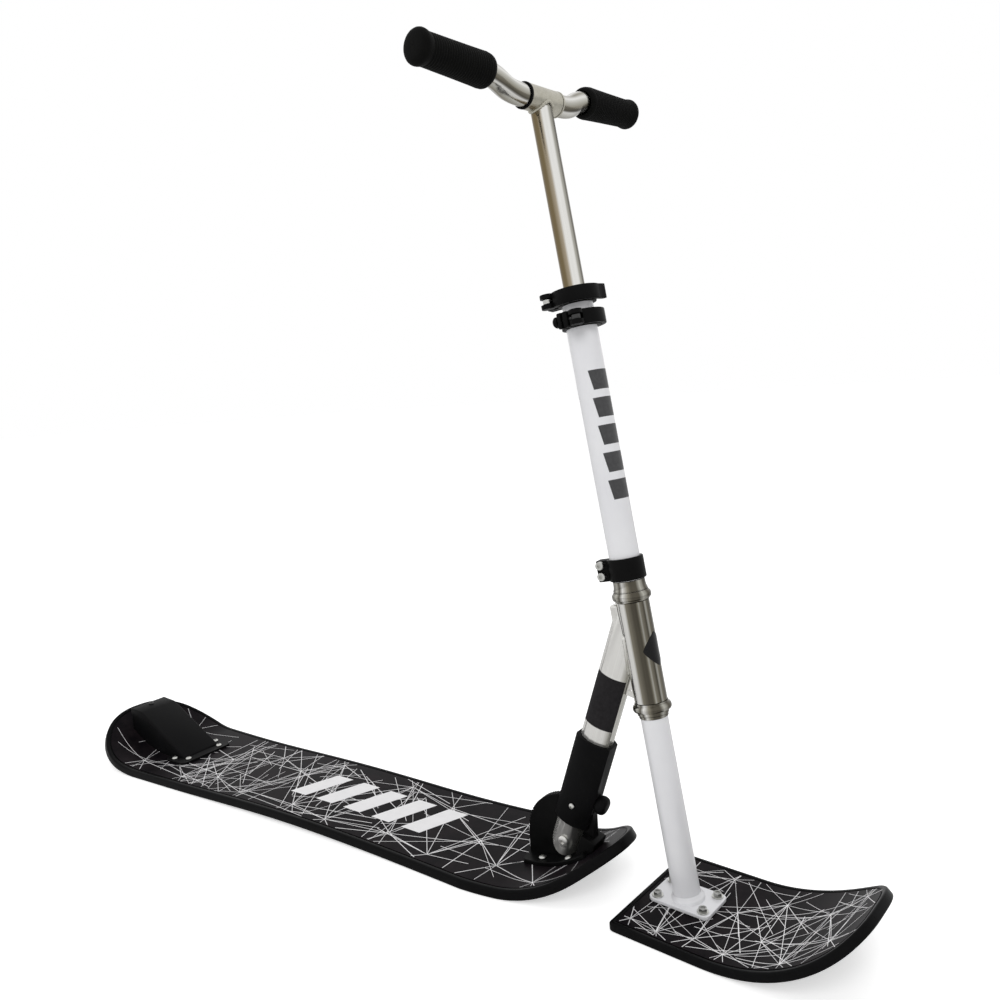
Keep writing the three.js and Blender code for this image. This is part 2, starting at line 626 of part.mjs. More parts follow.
const strutGroup = new THREE.Group();
strutGroup.name = 'strut_frame';
strutGroup.rotation.y = strutLean;
strutGroup.add(
  piece('strut', strutTube(), polished),
  piece('strut_sleeve', strutSleeve(), blackSatin),
  piece('left_sleeve_screw', sleeveScrew(1), steel),
  piece('right_sleeve_screw', sleeveScrew(-1), steel),
  piece('pivot_bolt', pivotBolt, steel),
  piece('pivot_nut', pivotNut, steel),
  piece('lock_spring', helicalSpring(lockSpring, springFoot), steel),
  piece('spring_plug', springPlug(), blackSatin),
  piece('lock_pin', lockPin(), steel),
  piece('release_knob', releaseKnob(), blackSatin),
);

// Head tube and headset, laid out from the column's foot with +Z up the column
const headGroup = new THREE.Group();
headGroup.name = 'steer_axis';
headGroup.rotation.y = -RAKE;
headGroup.position.copy(foot).sub(hinge);
const cupRing = (from, to, mouthAtTop) => {
  const beadLow = from + cup.bead;
  const beadHigh = to - cup.bead;
  const wallIn = race.outer + SEAT;
  const inner = mouthAtTop
    ? [[wallIn, to], [wallIn, beadLow], [cup.lip, beadLow], [cup.lip, from]]
    : [[cup.lip, to], [cup.lip, beadHigh], [wallIn, beadHigh], [wallIn, from]];
  const outer = [
    [headTube.radius, from], [cup.radius, beadLow], [cup.radius, beadHigh],
    [headTube.radius + cup.bead / 2, to],
  ];
  return turned([...inner, ...outer, inner[0]], 22);
};
const raceRing = (from) => turned([
  [race.inner, from], [race.outer, from], [race.outer, from + race.height / 2],
  [race.inner + race.topWidth, from + race.height], [race.inner, from + race.height], [race.inner, from],
], 20);
function headTubeWithGusset() {
  const { radius, wall } = headTube;
  const spread = Math.tan(strutLean + RAKE);
  const faceShift = (strut.depth / 2 + SEAT) / Math.cos(strutLean + RAKE);
  const strutFace = (height) => (height - strutMeetsAt) * spread + faceShift;
  const gussetTop = strutMeetsAt - (faceShift + radius) / spread;
  const gussetFoot = headBottom + gusset.aboveTubeEnd;
  const rearAt = gussetFoot + gusset.reach / 2;
  const plate = polygon([
    [wall - radius, gussetTop], [wall - radius, gussetFoot], [strutFace(rearAt), rearAt],
    [-radius, gussetTop],
  ]);
  return shaped([rod(radius, headBottom, headTop, 22), acrossY(plate, gusset.thickness)], [
    rod(radius - wall, headBottom - OVERRUN, headTop + OVERRUN, 22),
    rod(gusset.hole, -gusset.thickness, gusset.thickness, 10).rotateX(QUARTER)
      .translate(-radius - 2 * gusset.hole, 0, gussetFoot + gusset.reach * gusset.holeShare),
  ]);
}
headGroup.add(
  piece('head_tube', headTubeWithGusset(), polished),
  piece('upper_cup', cupRing(upperCupFrom, upperCupFrom + cup.height, true), polished),
  piece('lower_cup', cupRing(lowerCupFrom, lowerCupTo, false), polished),
  piece('upper_race', raceRing(upperCupFrom + cup.bead + SEAT), steel),
  piece('lower_race', raceRing(lowerCupTo - cup.bead - SEAT - race.height), steel),
);

// Steering column, turned a little to the right as it stands
const steerGroup = new THREE.Group();
steerGroup.rotation.z = STEER_AT_REST;
headGroup.add(steerGroup);

const skiBoltX = basePlate.length / 2 - basePlate.boltInX;
const skiBoltY = basePlate.width / 2 - basePlate.boltInY;
const skiSpots = [...mirrored(skiBoltX, skiBoltY), ...mirrored(-skiBoltX, skiBoltY)];
const skiGroup = new THREE.Group();
skiGroup.rotation.y = RAKE;

function basePlateSolid() {
  const { length, width, thickness, corner } = basePlate;
  const plate = new THREE.ExtrudeGeometry(roundedRectangle(length, width, corner),
    { depth: thickness, bevelEnabled: false, curveSegments: 3 }).translate(0, 0, -thickness);
  const bead = turned([
    [0, -OVERRUN], [forkTube.radius + weld.width, -OVERRUN],
    [forkTube.radius + weld.width, weld.rise * weld.kneeShare],
    [forkTube.radius + weld.topWidth, weld.rise], [0, weld.rise],
  ], 22).rotateY(-RAKE);
  return shaped([plate, bead], [
    rod(forkTube.radius + SEAT, -forkTube.radius * Math.sin(RAKE) * 2, forkTop, 22).rotateY(-RAKE),
    block(-length, length, -width, width, -thickness - length, -thickness),
    ...skiSpots.map(([x, y]) => rod(M5.hole, -thickness - OVERRUN, OVERRUN, 10).translate(x, y, 0)),
  ]);
}
const onSki = (solid) => solid.translate(0, 0, -skiStack);
skiGroup.add(
  piece('ski_board', onSki(shaped([rimmedBoard(skiBoard)], boresAt(skiBoard, skiSpots))), blackGloss),
  piece('ski_top_sheet', onSki(shaped([sheetOn(skiBoard)], holesAt(skiBoard, skiSpots))), printedBlack),
  piece('base_plate', basePlateSolid(), whitePaint),
  ...numbered('ski_bolt', hexagonBolt(boltThrough(skiStack + SEAT)),
    skiSpots.map(([x, y]) => at(x, y, SEAT)), steel),
);

// The fork tube is cut level where it stands on the base plate.
function forkSolid() {
  const reach = basePlate.length;
  const floor = block(-reach, reach, -reach, reach, -reach, SEAT).rotateY(RAKE);
  return shaped([ring(forkBore, forkTube.radius, -OVERRUN, forkTop, 22)], [floor]);
}
const forkBore = forkTube.radius - forkTube.wall;
const outerBore = outerTube.radius - outerTube.wall;

// Split clamp with ears on +X, bored for the outer tube, standing on z = 0.
function splitClamp({ radius, height, earReach, earThickness, slit }, boltAt, boltHeights) {
  const half = slit / 2;
  const face = half + earThickness;
  const ears = block(outerTube.radius, earReach, -face, face, 0, height);
  return shaped([ring(outerTube.radius + SEAT, radius, 0, height, 22), ears], [
    rod(outerTube.radius + SEAT, -OVERRUN, height + OVERRUN, 22),
    block(0, earReach + OVERRUN, -half, half, -OVERRUN, height + OVERRUN),
    ...boltHeights.map((z) => rod(M5.hole, -earReach, earReach, 10).rotateX(QUARTER).translate(boltAt, 0, z)),
  ]);
}

const clampScrewAt = stemClamp.earReach - M5.capRadius - stemClamp.screwEdge;
const clampScrewHeights = [-1, 1].map((side) =>
  stemClamp.height / 2 + (side * stemClamp.screwPitch) / 2);
const clampFace = stemClamp.slit / 2 + stemClamp.earThickness + SEAT;
const stemClampGroup = new THREE.Group();
stemClampGroup.rotation.z = stemClamp.slitAngle;
stemClampGroup.position.z = clampAt;
stemClampGroup.add(
  piece('stem_clamp', splitClamp(stemClamp, clampScrewAt, clampScrewHeights), blackSatin),
  ...numbered('stem_clamp_screw', capScrew(2 * clampFace).rotateX(-QUARTER),
    clampScrewHeights.map((z) => at(clampScrewAt, clampFace, z)), steel),
);

// Quick release: collar, eye bolt with nut, and the cam lever on its pin.
const collarFace = collar.slit / 2 + collar.earThickness;
const pinAcross = collarFace + lever.camRadius + lever.clearance;
function eyeBolt() {
  return shaped([
    rod(M5.shank, -collarFace - OVERRUN, pinAcross, 10).rotateX(-QUARTER).translate(lever.boltAt, 0, 0),
    rod(lever.eyeRadius, -lever.eyeHeight / 2, lever.eyeHeight / 2, 20).translate(lever.boltAt, pinAcross, 0),
  ], [rod(lever.pinRadius + SEAT, -OVERRUN, OVERRUN, 10).translate(lever.boltAt, pinAcross, 0)]);
}
const nutFace = collarFace + SEAT;
const leverNutSolid = () => shaped([
  rod(leverNut.radius, nutFace, nutFace + leverNut.height, 18),
], [rod(M5.shank + SEAT, 0, nutFace + OVERRUN, 10)])
  .rotateX(QUARTER).translate(lever.boltAt, 0, 0);

// The handle hugs the collar from the cam round to its tip.
function camLever(tipFlare) {
  const half = lever.height / 2;
  const inner = collar.radius + lever.clearance;
  const outer = inner + lever.handle;
  const start = Math.atan2(pinAcross, lever.boltAt);
  const end = start + lever.sweep;
  const plan = new THREE.Shape();
  plan.absarc(0, 0, outer, start, end);
  const tip = (radius, forward) => [
    radius * Math.cos(end) - forward * Math.sin(end),
    radius * Math.sin(end) + forward * Math.cos(end),
  ];
  if (tipFlare > 0) {
    plan.lineTo(...tip(outer + tipFlare * lever.flareShare, tipFlare));
    plan.lineTo(...tip(inner + tipFlare * lever.flareShare, tipFlare));
  } else {
    plan.absarc(...tip((inner + outer) / 2, 0), lever.handle / 2, end, end + Math.PI);
  }
  plan.absarc(0, 0, inner, end, start, true);
  const handle = new THREE.ExtrudeGeometry(plan,
    { depth: lever.height, bevelEnabled: false, curveSegments: 12 }).translate(0, 0, -half);
  const atPin = (radius, halfHeight, sides) =>
    toSolid(rod(radius, -halfHeight, halfHeight, sides).translate(lever.boltAt, pinAcross, 0));
  const cam = atPin(lever.camRadius, half, 18);
  const mouth = atPin(lever.camRadius + lever.mouthDepth, lever.camGap / 2, 18);
  const pin = atPin(lever.pinRadius, half, 10);
  return toGeometry(toSolid(handle).add(cam).subtract(mouth).add(pin));
}

function quickRelease(side, height, angle, tipFlare) {
  const group = new THREE.Group();
  group.position.z = height;
  group.rotation.z = angle;
  const leverGroup = new THREE.Group();
  leverGroup.name = `${side}_lever_axis`;
  leverGroup.position.set(lever.boltAt, pinAcross, 0);
  const leverSolid = camLever(tipFlare).translate(-lever.boltAt, -pinAcross, 0);
  leverGroup.add(piece(`${side}_lever`, leverSolid, blackSatin));
  const collarSolid = splitClamp(collar, lever.boltAt, [collar.height / 2])
    .translate(0, 0, -collar.height / 2);
  group.add(
    piece(`${side}_collar`, collarSolid, blackSatin),
    piece(`${side}_eye_bolt`, eyeBolt(), steel),
    piece(`${side}_lever_nut`, leverNutSolid(), blackSatin),
    leverGroup,
  );
  return group;
}

// Flared cap over the upper bearing
function dustCapSolid() {
  const { low, high, height, kneeShare, neckShare } = dustCap;
  const bore = forkTube.radius + SEAT;
  return turned([
    [bore, dustAt], [low, dustAt], [low, dustAt + height * kneeShare],
    [high, dustAt + height * neckShare], [high, dustAt + height], [bore, dustAt + height],
    [bore, dustAt],
  ]);
}
const crownRing = ring(forkTube.radius + SEAT, crownRace.radius, crownAt, crownAt + crownRace.height);
const guideBush = (from) =>
  ring(stemTube.radius + SEAT, outerBore - SEAT, from, from + bush.length, 18);

steerGroup.add(
  skiGroup,
  piece('fork_tube', forkSolid(), whitePaint),
  piece('crown_race', crownRing, polished),
  piece('dust_cap', dustCapSolid(), steel),
  piece('outer_tube', ring(outerBore, outerTube.radius, outerFoot, outerTop, 22), whitePaint),
  piece('top_bush', guideBush(outerTop - bush.length), blackSatin),
  stemClampGroup,
  quickRelease('lower', outerTop - collar.lowerDrop, collar.lowerAngle, 0),
  quickRelease('upper', outerTop - collar.upperDrop, collar.upperAngle, lever.tipFlare),
);

// Handlebar: sliding stem with its cross tube, two bent bars and their grips
const stemBore = stemTube.radius - stemTube.wall;
const crossBore = bar.radius + SEAT;
function stemWithCrossTube() {
  const across = (geometry) => geometry.rotateX(QUARTER).translate(0, 0, barHeight);
  return shaped([
    rod(stemTube.radius, stemFoot, barHeight, 22),
    across(rod(crossTube.radius, -crossTube.halfLength, crossTube.halfLength, 22)),
  ], [
    rod(stemBore, stemFoot - OVERRUN, barHeight, 18),
    across(rod(crossBore, -crossTube.halfLength - OVERRUN, crossTube.halfLength + OVERRUN, 22)),
  ]);
}

// Centre line of the left bar, in the plane across the stem: straight, a bend, straight.
const barPath = new THREE.CurvePath();
const bendFoot = new THREE.Vector3(0, bar.bendStart, 0);
const bendHead = new THREE.Vector3(0, bar.bendEnd, bar.rise);
const barEnd = new THREE.Vector3(0, bar.end, bar.endRise);
const pull = (bar.bendEnd - bar.bendStart) * bar.pullShare;
barPath.add(new THREE.LineCurve3(new THREE.Vector3(0, bar.innerEnd, 0), bendFoot));
barPath.add(new THREE.CubicBezierCurve3(bendFoot, new THREE.Vector3(0, bar.bendStart + pull, 0),
  bendHead.clone().addScaledVector(barEnd.clone().sub(bendHead).normalize(), -pull), bendHead));
barPath.add(new THREE.LineCurve3(bendHead, barEnd));
const barLength = barPath.getLength();

// A body of revolution whose axis follows the bar: a closed profile of [radius, way along].
function alongBar(profile, sides) {
  const positions = [];
  for (const [radius, way] of profile) {
    const centre = barPath.getPointAt(Math.min(way / barLength, 1));
    const heading = barPath.getTangentAt(Math.min(way / barLength, 1));
    centre.addScaledVector(heading, Math.max(way - barLength, 0));
    for (let side = 0; side < sides; side += 1) {
      const angle = (side / sides) * 2 * Math.PI;
      const lift = radius * Math.sin(angle);
      positions.push(radius * Math.cos(angle), centre.y - heading.z * lift, centre.z + heading.y * lift);
    }
  }
  const index = [];
  for (let step = 0; step + 1 < profile.length; step += 1) {
    for (let side = 0; side < sides; side += 1) {
      const a = step * sides + side;
      const b = step * sides + ((side + 1) % sides);
      index.push(a, a + sides, b + sides, a, b + sides, b);
    }
  }
  const geometry = new THREE.BufferGeometry();
  geometry.setAttribute('position', new THREE.BufferAttribute(new Float32Array(positions), 3));
  geometry.setIndex(index);
  return shaped([geometry]);
}
// Ways along the bar from one place to another, closer together in the bend.
function waysAlong(from, to, step) {
  const count = Math.ceil((to - from) / step);
  return Array.from({ length: count + 1 }, (_, place) => from + ((to - from) * place) / count);
}

function bentBar() {
  const straight = bar.bendStart - bar.innerEnd;
  const bendEndWay = barLength - barEnd.distanceTo(bendHead);
  const ways = [0, ...waysAlong(straight, bendEndWay, bar.step), barLength];
  const outside = ways.map((way) => [bar.radius, way]);
  const inside = [...ways].reverse().map((way) => [bar.radius - bar.wall, way]);
  return alongBar([...outside, ...inside, outside[0]], bar.sides);
}

// Grip: a bored rubber sleeve with ribs, a small inner flange and a domed outer one.
function gripSolid() {
  const bore = bar.radius + SEAT;
  const from = barLength - grip.length;
  const ribbedFrom = from + grip.innerWidth;
  const ribbedTo = barLength - grip.flangeWidth;
  const pitch = (ribbedTo - ribbedFrom) / grip.ribs;
  const profile = [
    [bore, from], [grip.innerFlange, from],
    [grip.innerFlange, from + grip.innerWidth * grip.innerFlatShare], [grip.groove, ribbedFrom],
  ];
  for (let rib = 0; rib < grip.ribs; rib += 1) {
    const root = ribbedFrom + rib * pitch;
    profile.push([grip.radius, root + pitch / 2], [grip.groove, root + pitch]);
  }
  profile.push(
    [grip.flange, barLength - grip.flangeWidth / 2], [grip.flange, barLength],
    [grip.domeRadius, barLength + grip.dome * grip.domeShare], [0, barLength + grip.dome],
    [0, barLength + SEAT],
    ...waysAlong(from, barLength + SEAT, bar.step).reverse().map((way) => [bore, way]),
  );
  return alongBar(profile, bar.sides);
}
// The right-hand copy: mirrored in y, with its faces turned back outwards.
function rightHand(geometry) {
  const copy = geometry.clone().scale(1, -1, 1);
  const plain = copy.index ? copy.toNonIndexed() : copy;
  const { array } = plain.attributes.position;
  for (let face = 0; face < array.length; face += 9) {
    for (let axis = 0; axis < 3; axis += 1) {
      [array[face + 3 + axis], array[face + 6 + axis]] = [array[face + 6 + axis], array[face + 3 + axis]];
    }
  }
  plain.computeVertexNormals();
  return plain;
}

const handlebarGroup = new THREE.Group();
handlebarGroup.name = 'handlebar_slide';
const barGroup = new THREE.Group();
barGroup.position.z = barHeight;
const ringGeometry = ring(bar.radius + SEAT, barRing.radius, crossTube.halfLength + SEAT,
  crossTube.halfLength + SEAT + barRing.width, 22).rotateX(-QUARTER);
for (const [side, hand] of [['left', (geometry) => geometry], ['right', rightHand]]) {
  barGroup.add(
    piece(`${side}_bar`, hand(bentBar()), polished),
    piece(`${side}_bar_ring`, hand(ringGeometry), blackSatin),
    piece(`${side}_grip`, hand(gripSolid()), rubber),
  );
}
handlebarGroup.add(
  piece('stem_tube', stemWithCrossTube(), polished),
  piece('foot_bush', guideBush(stemFoot), blackSatin),
  barGroup,
);
steerGroup.add(handlebarGroup);

// Everything that folds hangs on the pivot.
const foldGroup = new THREE.Group();
foldGroup.name = 'fold_axis';
foldGroup.position.copy(hinge);
foldGroup.add(strutGroup, headGroup);

const scooter = new THREE.Group();
scooter.add(deckGroup, foldGroup);
scooter.updateMatrixWorld(true);
const bounds = new THREE.Box3().setFromObject(scooter, true);
const middle = bounds.getCenter(new THREE.Vector3());
scooter.position.set(-middle.x, -middle.y, -bounds.min.z);
scooter.updateMatrixWorld(true);

export default scooter;
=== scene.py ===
import json
import math
import random

import bmesh
import bpy
from mathutils import Matrix, Vector


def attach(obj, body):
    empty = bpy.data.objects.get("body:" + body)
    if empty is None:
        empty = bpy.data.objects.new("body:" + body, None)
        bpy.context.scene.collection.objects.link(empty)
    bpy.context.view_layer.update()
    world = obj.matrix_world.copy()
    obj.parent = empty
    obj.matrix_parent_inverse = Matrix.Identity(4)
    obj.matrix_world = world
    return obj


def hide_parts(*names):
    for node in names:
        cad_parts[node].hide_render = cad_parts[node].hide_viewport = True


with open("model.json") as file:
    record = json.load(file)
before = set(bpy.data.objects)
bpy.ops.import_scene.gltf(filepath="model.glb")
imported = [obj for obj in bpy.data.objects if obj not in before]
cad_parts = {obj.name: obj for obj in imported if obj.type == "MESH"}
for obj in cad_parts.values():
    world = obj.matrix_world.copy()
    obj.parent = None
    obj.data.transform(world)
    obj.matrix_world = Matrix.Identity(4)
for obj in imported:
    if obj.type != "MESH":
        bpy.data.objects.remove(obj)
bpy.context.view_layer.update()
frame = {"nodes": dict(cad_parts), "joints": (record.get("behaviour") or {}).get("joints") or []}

# Camera. Its place, turn and lens were worked out from the scooter's own straight
# tubes and right angles in the photograph, measured from the foot of the column.
joints = {joint["name"]: joint for joint in frame["joints"]}
foot = Vector(joints["steering"]["pos_m"])
camera_offset = Vector((0.3592, -0.79062, 0.54832))
camera_azimuth = math.radians(35.61)
camera_elevation = math.radians(7.18)
camera_roll = math.radians(-3.75)
camera = bpy.data.objects.new("camera", bpy.data.cameras.new("camera"))
camera.data.sensor_width = 36
camera.data.lens = 31.53
camera.data.clip_start = 0.01
camera.data.shift_x = 0.0003
camera.data.shift_y = 0.0013
bpy.context.scene.collection.objects.link(camera)
camera.matrix_world = (
    Matrix.Translation(Vector((foot.x, foot.y, 0)) + camera_offset)
    @ Matrix.Rotation(camera_azimuth, 4, "Z")
    @ Matrix.Rotation(math.pi / 2 - camera_elevation, 4, "X")
    @ Matrix.Rotation(camera_roll, 4, "Z")
)
bpy.context.scene.camera = camera
bpy.context.scene.view_settings.view_transform = "Standard"


# Studio. A white surround that the camera, metal and gloss see as white but that lights
# little, three softboxes, and a white floor that keeps a faint shadow of the scooter.
class Value:
    """A socket in a material, so that shader maths reads as Python."""

    def __init__(self, socket):
        self.socket = socket

    def node(self, kind, settings=None, inputs=None, output=0):
        """Add a node: its settings first, then the values or links of its sockets."""
        made = self.socket.id_data.nodes.new(kind)
        for key, setting in (settings or {}).items():
            if key == "stops":
                while len(made.color_ramp.elements) < len(setting):
                    made.color_ramp.elements.new(1.0)
                for element, (position, colour) in zip(made.color_ramp.elements, setting):
                    element.position = position
                    element.color = colour
            else:
                setattr(made, key, setting)
        for key, given in (inputs or {}).items():
            join(given, made.inputs[key])
        return Value(made.outputs[output])

    def maths(self, operation, *terms):
        return self.node("ShaderNodeMath", {"operation": operation}, dict(enumerate(terms)))

    def __add__(self, other):
        return self.maths("ADD", self, other)

    def __mul__(self, other):
        return self.maths("MULTIPLY", self, other)

    __radd__ = __add__
    __rmul__ = __mul__


def join(given, socket):
    """Link a Value to a socket, or set a plain number or colour on it."""
    if isinstance(given, Value):
        socket.id_data.links.new(given.socket, socket)
    else:
        socket.default_value = given


surround_strength = 0.55
world = bpy.data.worlds.new("surround")
world.use_nodes = True
bpy.context.scene.world = world
sky = world.node_tree.nodes["Background"]
rays = world.node_tree.nodes.new("ShaderNodeLightPath")
seen = Value(rays.outputs["Is Camera Ray"]).maths(
    "MAXIMUM", Value(rays.outputs["Is Camera Ray"]), Value(rays.outputs["Is Glossy Ray"])
)
seen = seen.maths("MAXIMUM", seen, Value(rays.outputs["Is Transmission Ray"]))
join(seen * (1 - surround_strength) + surround_strength, sky.inputs["Strength"])
sky.inputs["Color"].default_value = (1, 1, 1, 1)


def softbox(name, place, target, width, height, watts):
    """A rectangular lamp at a place, turned to face a target."""
    lamp = bpy.data.objects.new(name, bpy.data.lights.new(name, "AREA"))
    lamp.data.shape = "RECTANGLE"
    lamp.data.size = width
    lamp.data.size_y = height
    lamp.data.energy = watts
    lamp.visible_glossy = False
    lamp.location = place
    lamp.rotation_euler = (Vector(target) - Vector(place)).to_track_quat("-Z", "Y").to_euler()
    bpy.context.scene.collection.objects.link(lamp)


middle = (0, 0, 0.4)
softbox("key_lamp", (1.2, -1.9, 2.3), middle, 1.2, 1.2, 22)
softbox("fill_lamp", (-2.2, -1.2, 1.4), middle, 1.4, 1.4, 9)
softbox("back_lamp", (0.6, 2.2, 2.0), middle, 1.6, 1.0, 12)

floor_size = 60
floor_glow = 0.52
ground = bmesh.new()
bmesh.ops.create_grid(ground, x_segments=1, y_segments=1, size=floor_size / 2)
floor = bpy.data.objects.new("floor", bpy.data.meshes.new("floor"))
ground.to_mesh(floor.data)
ground.free()
bpy.context.scene.collection.objects.link(floor)
paper = bpy.data.materials.new("floor_paper")
paper.use_nodes = True
paper_shader = paper.node_tree.nodes["Principled BSDF"]
paper_shader.inputs["Base Color"].default_value = (0.95, 0.95, 0.95, 1)
paper_shader.inputs["Roughness"].default_value = 0.9
paper_shader.inputs["Emission Color"].default_value = (1, 1, 1, 1)
paper_rays = paper.node_tree.nodes.new("ShaderNodeLightPath")
paper_seen = Value(paper_rays.outputs["Is Camera Ray"])
join(paper_seen * floor_glow, paper_shader.inputs["Emission Strength"])
floor.data.materials.append(paper)


# Deck board. A laminated core in a glossy moulded black skin, one piece with its raised
# border; both ends turn up, and it is a little arched between its two running zones.
class Board:
    """A board's side view and outline, in millimetres along it from the column's foot."""

    def __init__(self, half_width, waist, thickness, camber, contact, rear, front):
        self.half_width = half_width
        self.waist = waist
        self.thickness = thickness
        self.camber = camber
        self.contact = contact
        self.rear = rear
        self.front = front

    def bend(self, along):
        """Place, height and slope of the underside."""
        if self.rear["bend"] <= along <= self.front["bend"]:
            start = self.rear["bend"] + self.contact
            end = self.front["bend"] - self.contact
            share = min(max((along - start) / (end - start), 0), 1)
            return along, self.camber * math.sin(math.pi * share) ** 2, 0
        end, side = (self.front, 1) if along > self.front["bend"] else (self.rear, -1)
        run = side * (along - end["bend"])
        turn = min(run / end["radius"], math.radians(end["angle"]))
        straight = run - turn * end["radius"]
        reach = end["radius"] * math.sin(turn) + straight * math.cos(turn)
        rise = end["radius"] * (1 - math.cos(turn)) + straight * math.sin(turn)
        return end["bend"] + side * reach, rise, side * turn

    def point(self, along, across, height):
        """A point at a height over the underside, square to it."""
        place, rise, slope = self.bend(along)
        return Vector((place - height * math.sin(slope), across, rise + height * math.cos(slope)))

    def outline(self, along, inset):
        """Place along and half width of the outline, drawn in by an inset."""
        end = self.rear if along < self.waist else self.front
        share = min(max((along - self.waist) / (end["start"] - self.waist), 0), 1)
        full = self.half_width + end["flare"] * share**2 - inset
        for end, side in ((self.front, 1), (self.rear, -1)):
            share = min(side * (along - end["start"]) / end["length"], 1)
            if share > 0:
                fall = (1 - share ** end["power"]) ** (1 / end["power"])
                flat = min(end["flat"], full)
                place = end["start"] + side * share * (end["length"] - inset)
                return place, flat + (full - flat) * fall
        return along, full

    def stations(self, end_steps=36, spacing=5):
        """Places along the board, closer together where its outline turns in."""
        places = []
        for end, side in ((self.rear, -1), (self.front, 1)):
            for step in range(end_steps + 1):
                share = math.sin(math.pi / 2 * step / end_steps) ** (2 / end["power"])
                places.append(end["start"] + side * end["length"] * share)
        first, last = min(places), max(places)
        for step in range(1, int((last - first) / spacing)):
            place = first + step * spacing
            if min(abs(place - other) for other in places) > spacing / 2:
                places.append(place)
        return sorted(places)

    def slab(self, layers):
        """A closed slab through layers of inset and height, from the underside up."""
        stations = self.stations()
        count = len(stations)

        def wall(column, row):
            inset, height = layers[row]
            step = column % (2 * count)
            side = 1 if step < count else -1
            along, half = self.outline(stations[min(step, 2 * count - 1 - step)], inset)
            return self.point(along, side * half, height)

        def face(column, row, layer):
            inset, height = layer
            along, half = self.outline(stations[column], inset)
            return self.point(along, half * (row / 4 - 1), height)

        skin = mapped(2 * count, len(layers) - 1, wall)
        under = mapped(count - 1, 8, lambda column, row: face(column, row, layers[0]))
        above = mapped(count - 1, 8, lambda column, row: face(column, row, layers[-1]))
        return joined(skin, under, above)


def mapped(columns, rows, place):
    """A grid whose points go where place(column, row) says."""
    shape = bmesh.new()
    bmesh.ops.create_grid(shape, x_segments=columns, y_segments=rows, size=0.5)
    for vert in shape.verts:
        vert.co = place(round((vert.co.x + 0.5) * columns), round((vert.co.y + 0.5) * rows))
    return shape


def joined(*shapes):
    """One shape from several, with the points that they share merged."""
    whole = bmesh.new()
    for shape in shapes:
        mesh = bpy.data.meshes.new("blank")
        shape.to_mesh(mesh)
        shape.free()
        whole.from_mesh(mesh)
        bpy.data.meshes.remove(mesh)
    bmesh.ops.remove_doubles(whole, verts=whole.verts, dist=0.002)
    return whole


def polar(radius, degrees):
    """A point at a radius and an angle."""
    return radius * math.cos(math.radians(degrees)), radius * math.sin(math.radians(degrees))


def arc(centre, radius, start, end, steps):
    """Points on an arc between two angles in degrees."""
    spots = [polar(radius, start + (end - start) * step / steps) for step in range(steps + 1)]
    return [(centre[0] + x, centre[1] + y) for x, y in spots]


crease_angle = 32


def fitted(shape, name, material, body, placement, stands_for):
    """Put a shape drawn in millimetres in its place and fix it to its body."""
    bmesh.ops.transform(shape, matrix=placement @ Matrix.Scale(0.001, 4), verts=shape.verts)
    bmesh.ops.recalc_face_normals(shape, faces=shape.faces)
    for face in shape.faces:
        face.smooth = True
    mesh = bpy.data.meshes.new(name)
    shape.to_mesh(mesh)
    shape.free()
    mesh.set_sharp_from_angle(angle=math.radians(crease_angle))
    mesh.materials.append(material)
    made = bpy.data.objects.new(name, mesh)
    bpy.context.scene.collection.objects.link(made)
    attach(made, body)
    if stands_for:
        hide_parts(*stands_for)


def surface(name, colour, roughness, metallic=0.0, coat=0.0, gloss=0.5):
    """A plain material, its shader, and the place on the piece as a Value."""
    material = bpy.data.materials.new(name)
    material.use_nodes = True
    nodes = material.node_tree.nodes
    shader = nodes["Principled BSDF"]
    shader.inputs["Base Color"].default_value = (*colour, 1)
    shader.inputs["Roughness"].default_value = roughness
    shader.inputs["Metallic"].default_value = metallic
    shader.inputs["Coat Weight"].default_value = coat
    shader.inputs["Specular IOR Level"].default_value = gloss
    place = Value(nodes.new("ShaderNodeTexCoord").outputs["Object"])
    return material, shader, place


def mixed(mask, low, high):
    """A colour that goes from low to high with a mask."""
    inputs = {0: mask, 6: (*low, 1), 7: (*high, 1)}
    return mask.node("ShaderNodeMix", {"data_type": "RGBA"}, inputs, output=2)


def grain(place, scale, detail=3.0, roughness=0.55):
    """Noise between 0 and 1 over a piece."""
    inputs = {"Vector": place, "Scale": scale, "Detail": detail, "Roughness": roughness}
    return place.node("ShaderNodeTexNoise", None, inputs)


def relief(height, depth, strength):
    """A bump of a depth in metres for the Normal socket."""
    inputs = {"Height": height, "Distance": depth, "Strength": strength}
    return height.node("ShaderNodeBump", None, inputs)


deck = Board(
    half_width=83.4, waist=-400, thickness=10.6, camber=4.5, contact=66,
    rear={"start": -900, "length": 103.8, "power": 2.15, "flat": 4, "flare": 11.4,
          "bend": -859.7, "radius": 161, "angle": 36.6},
    front={"start": -236, "length": 189.5, "power": 1.84, "flat": 4, "flare": 5.4,
           "bend": -191, "radius": 154, "angle": 35},
)


def rimmed(board, edge, rim_width, rim_rise):
    """Layers of a board with a rounded edge and a raised, rounded border."""
    top = board.thickness + rim_rise
    low = arc((edge, edge), edge, 270, 180, 5)
    high = arc((edge, top - edge), edge, 180, 90, 5)
    inner = arc((rim_width - 1.6 * rim_rise, board.thickness), rim_rise, 90, 0, 3)
    return low + high + inner + [(rim_width, board.thickness - 0.2)]


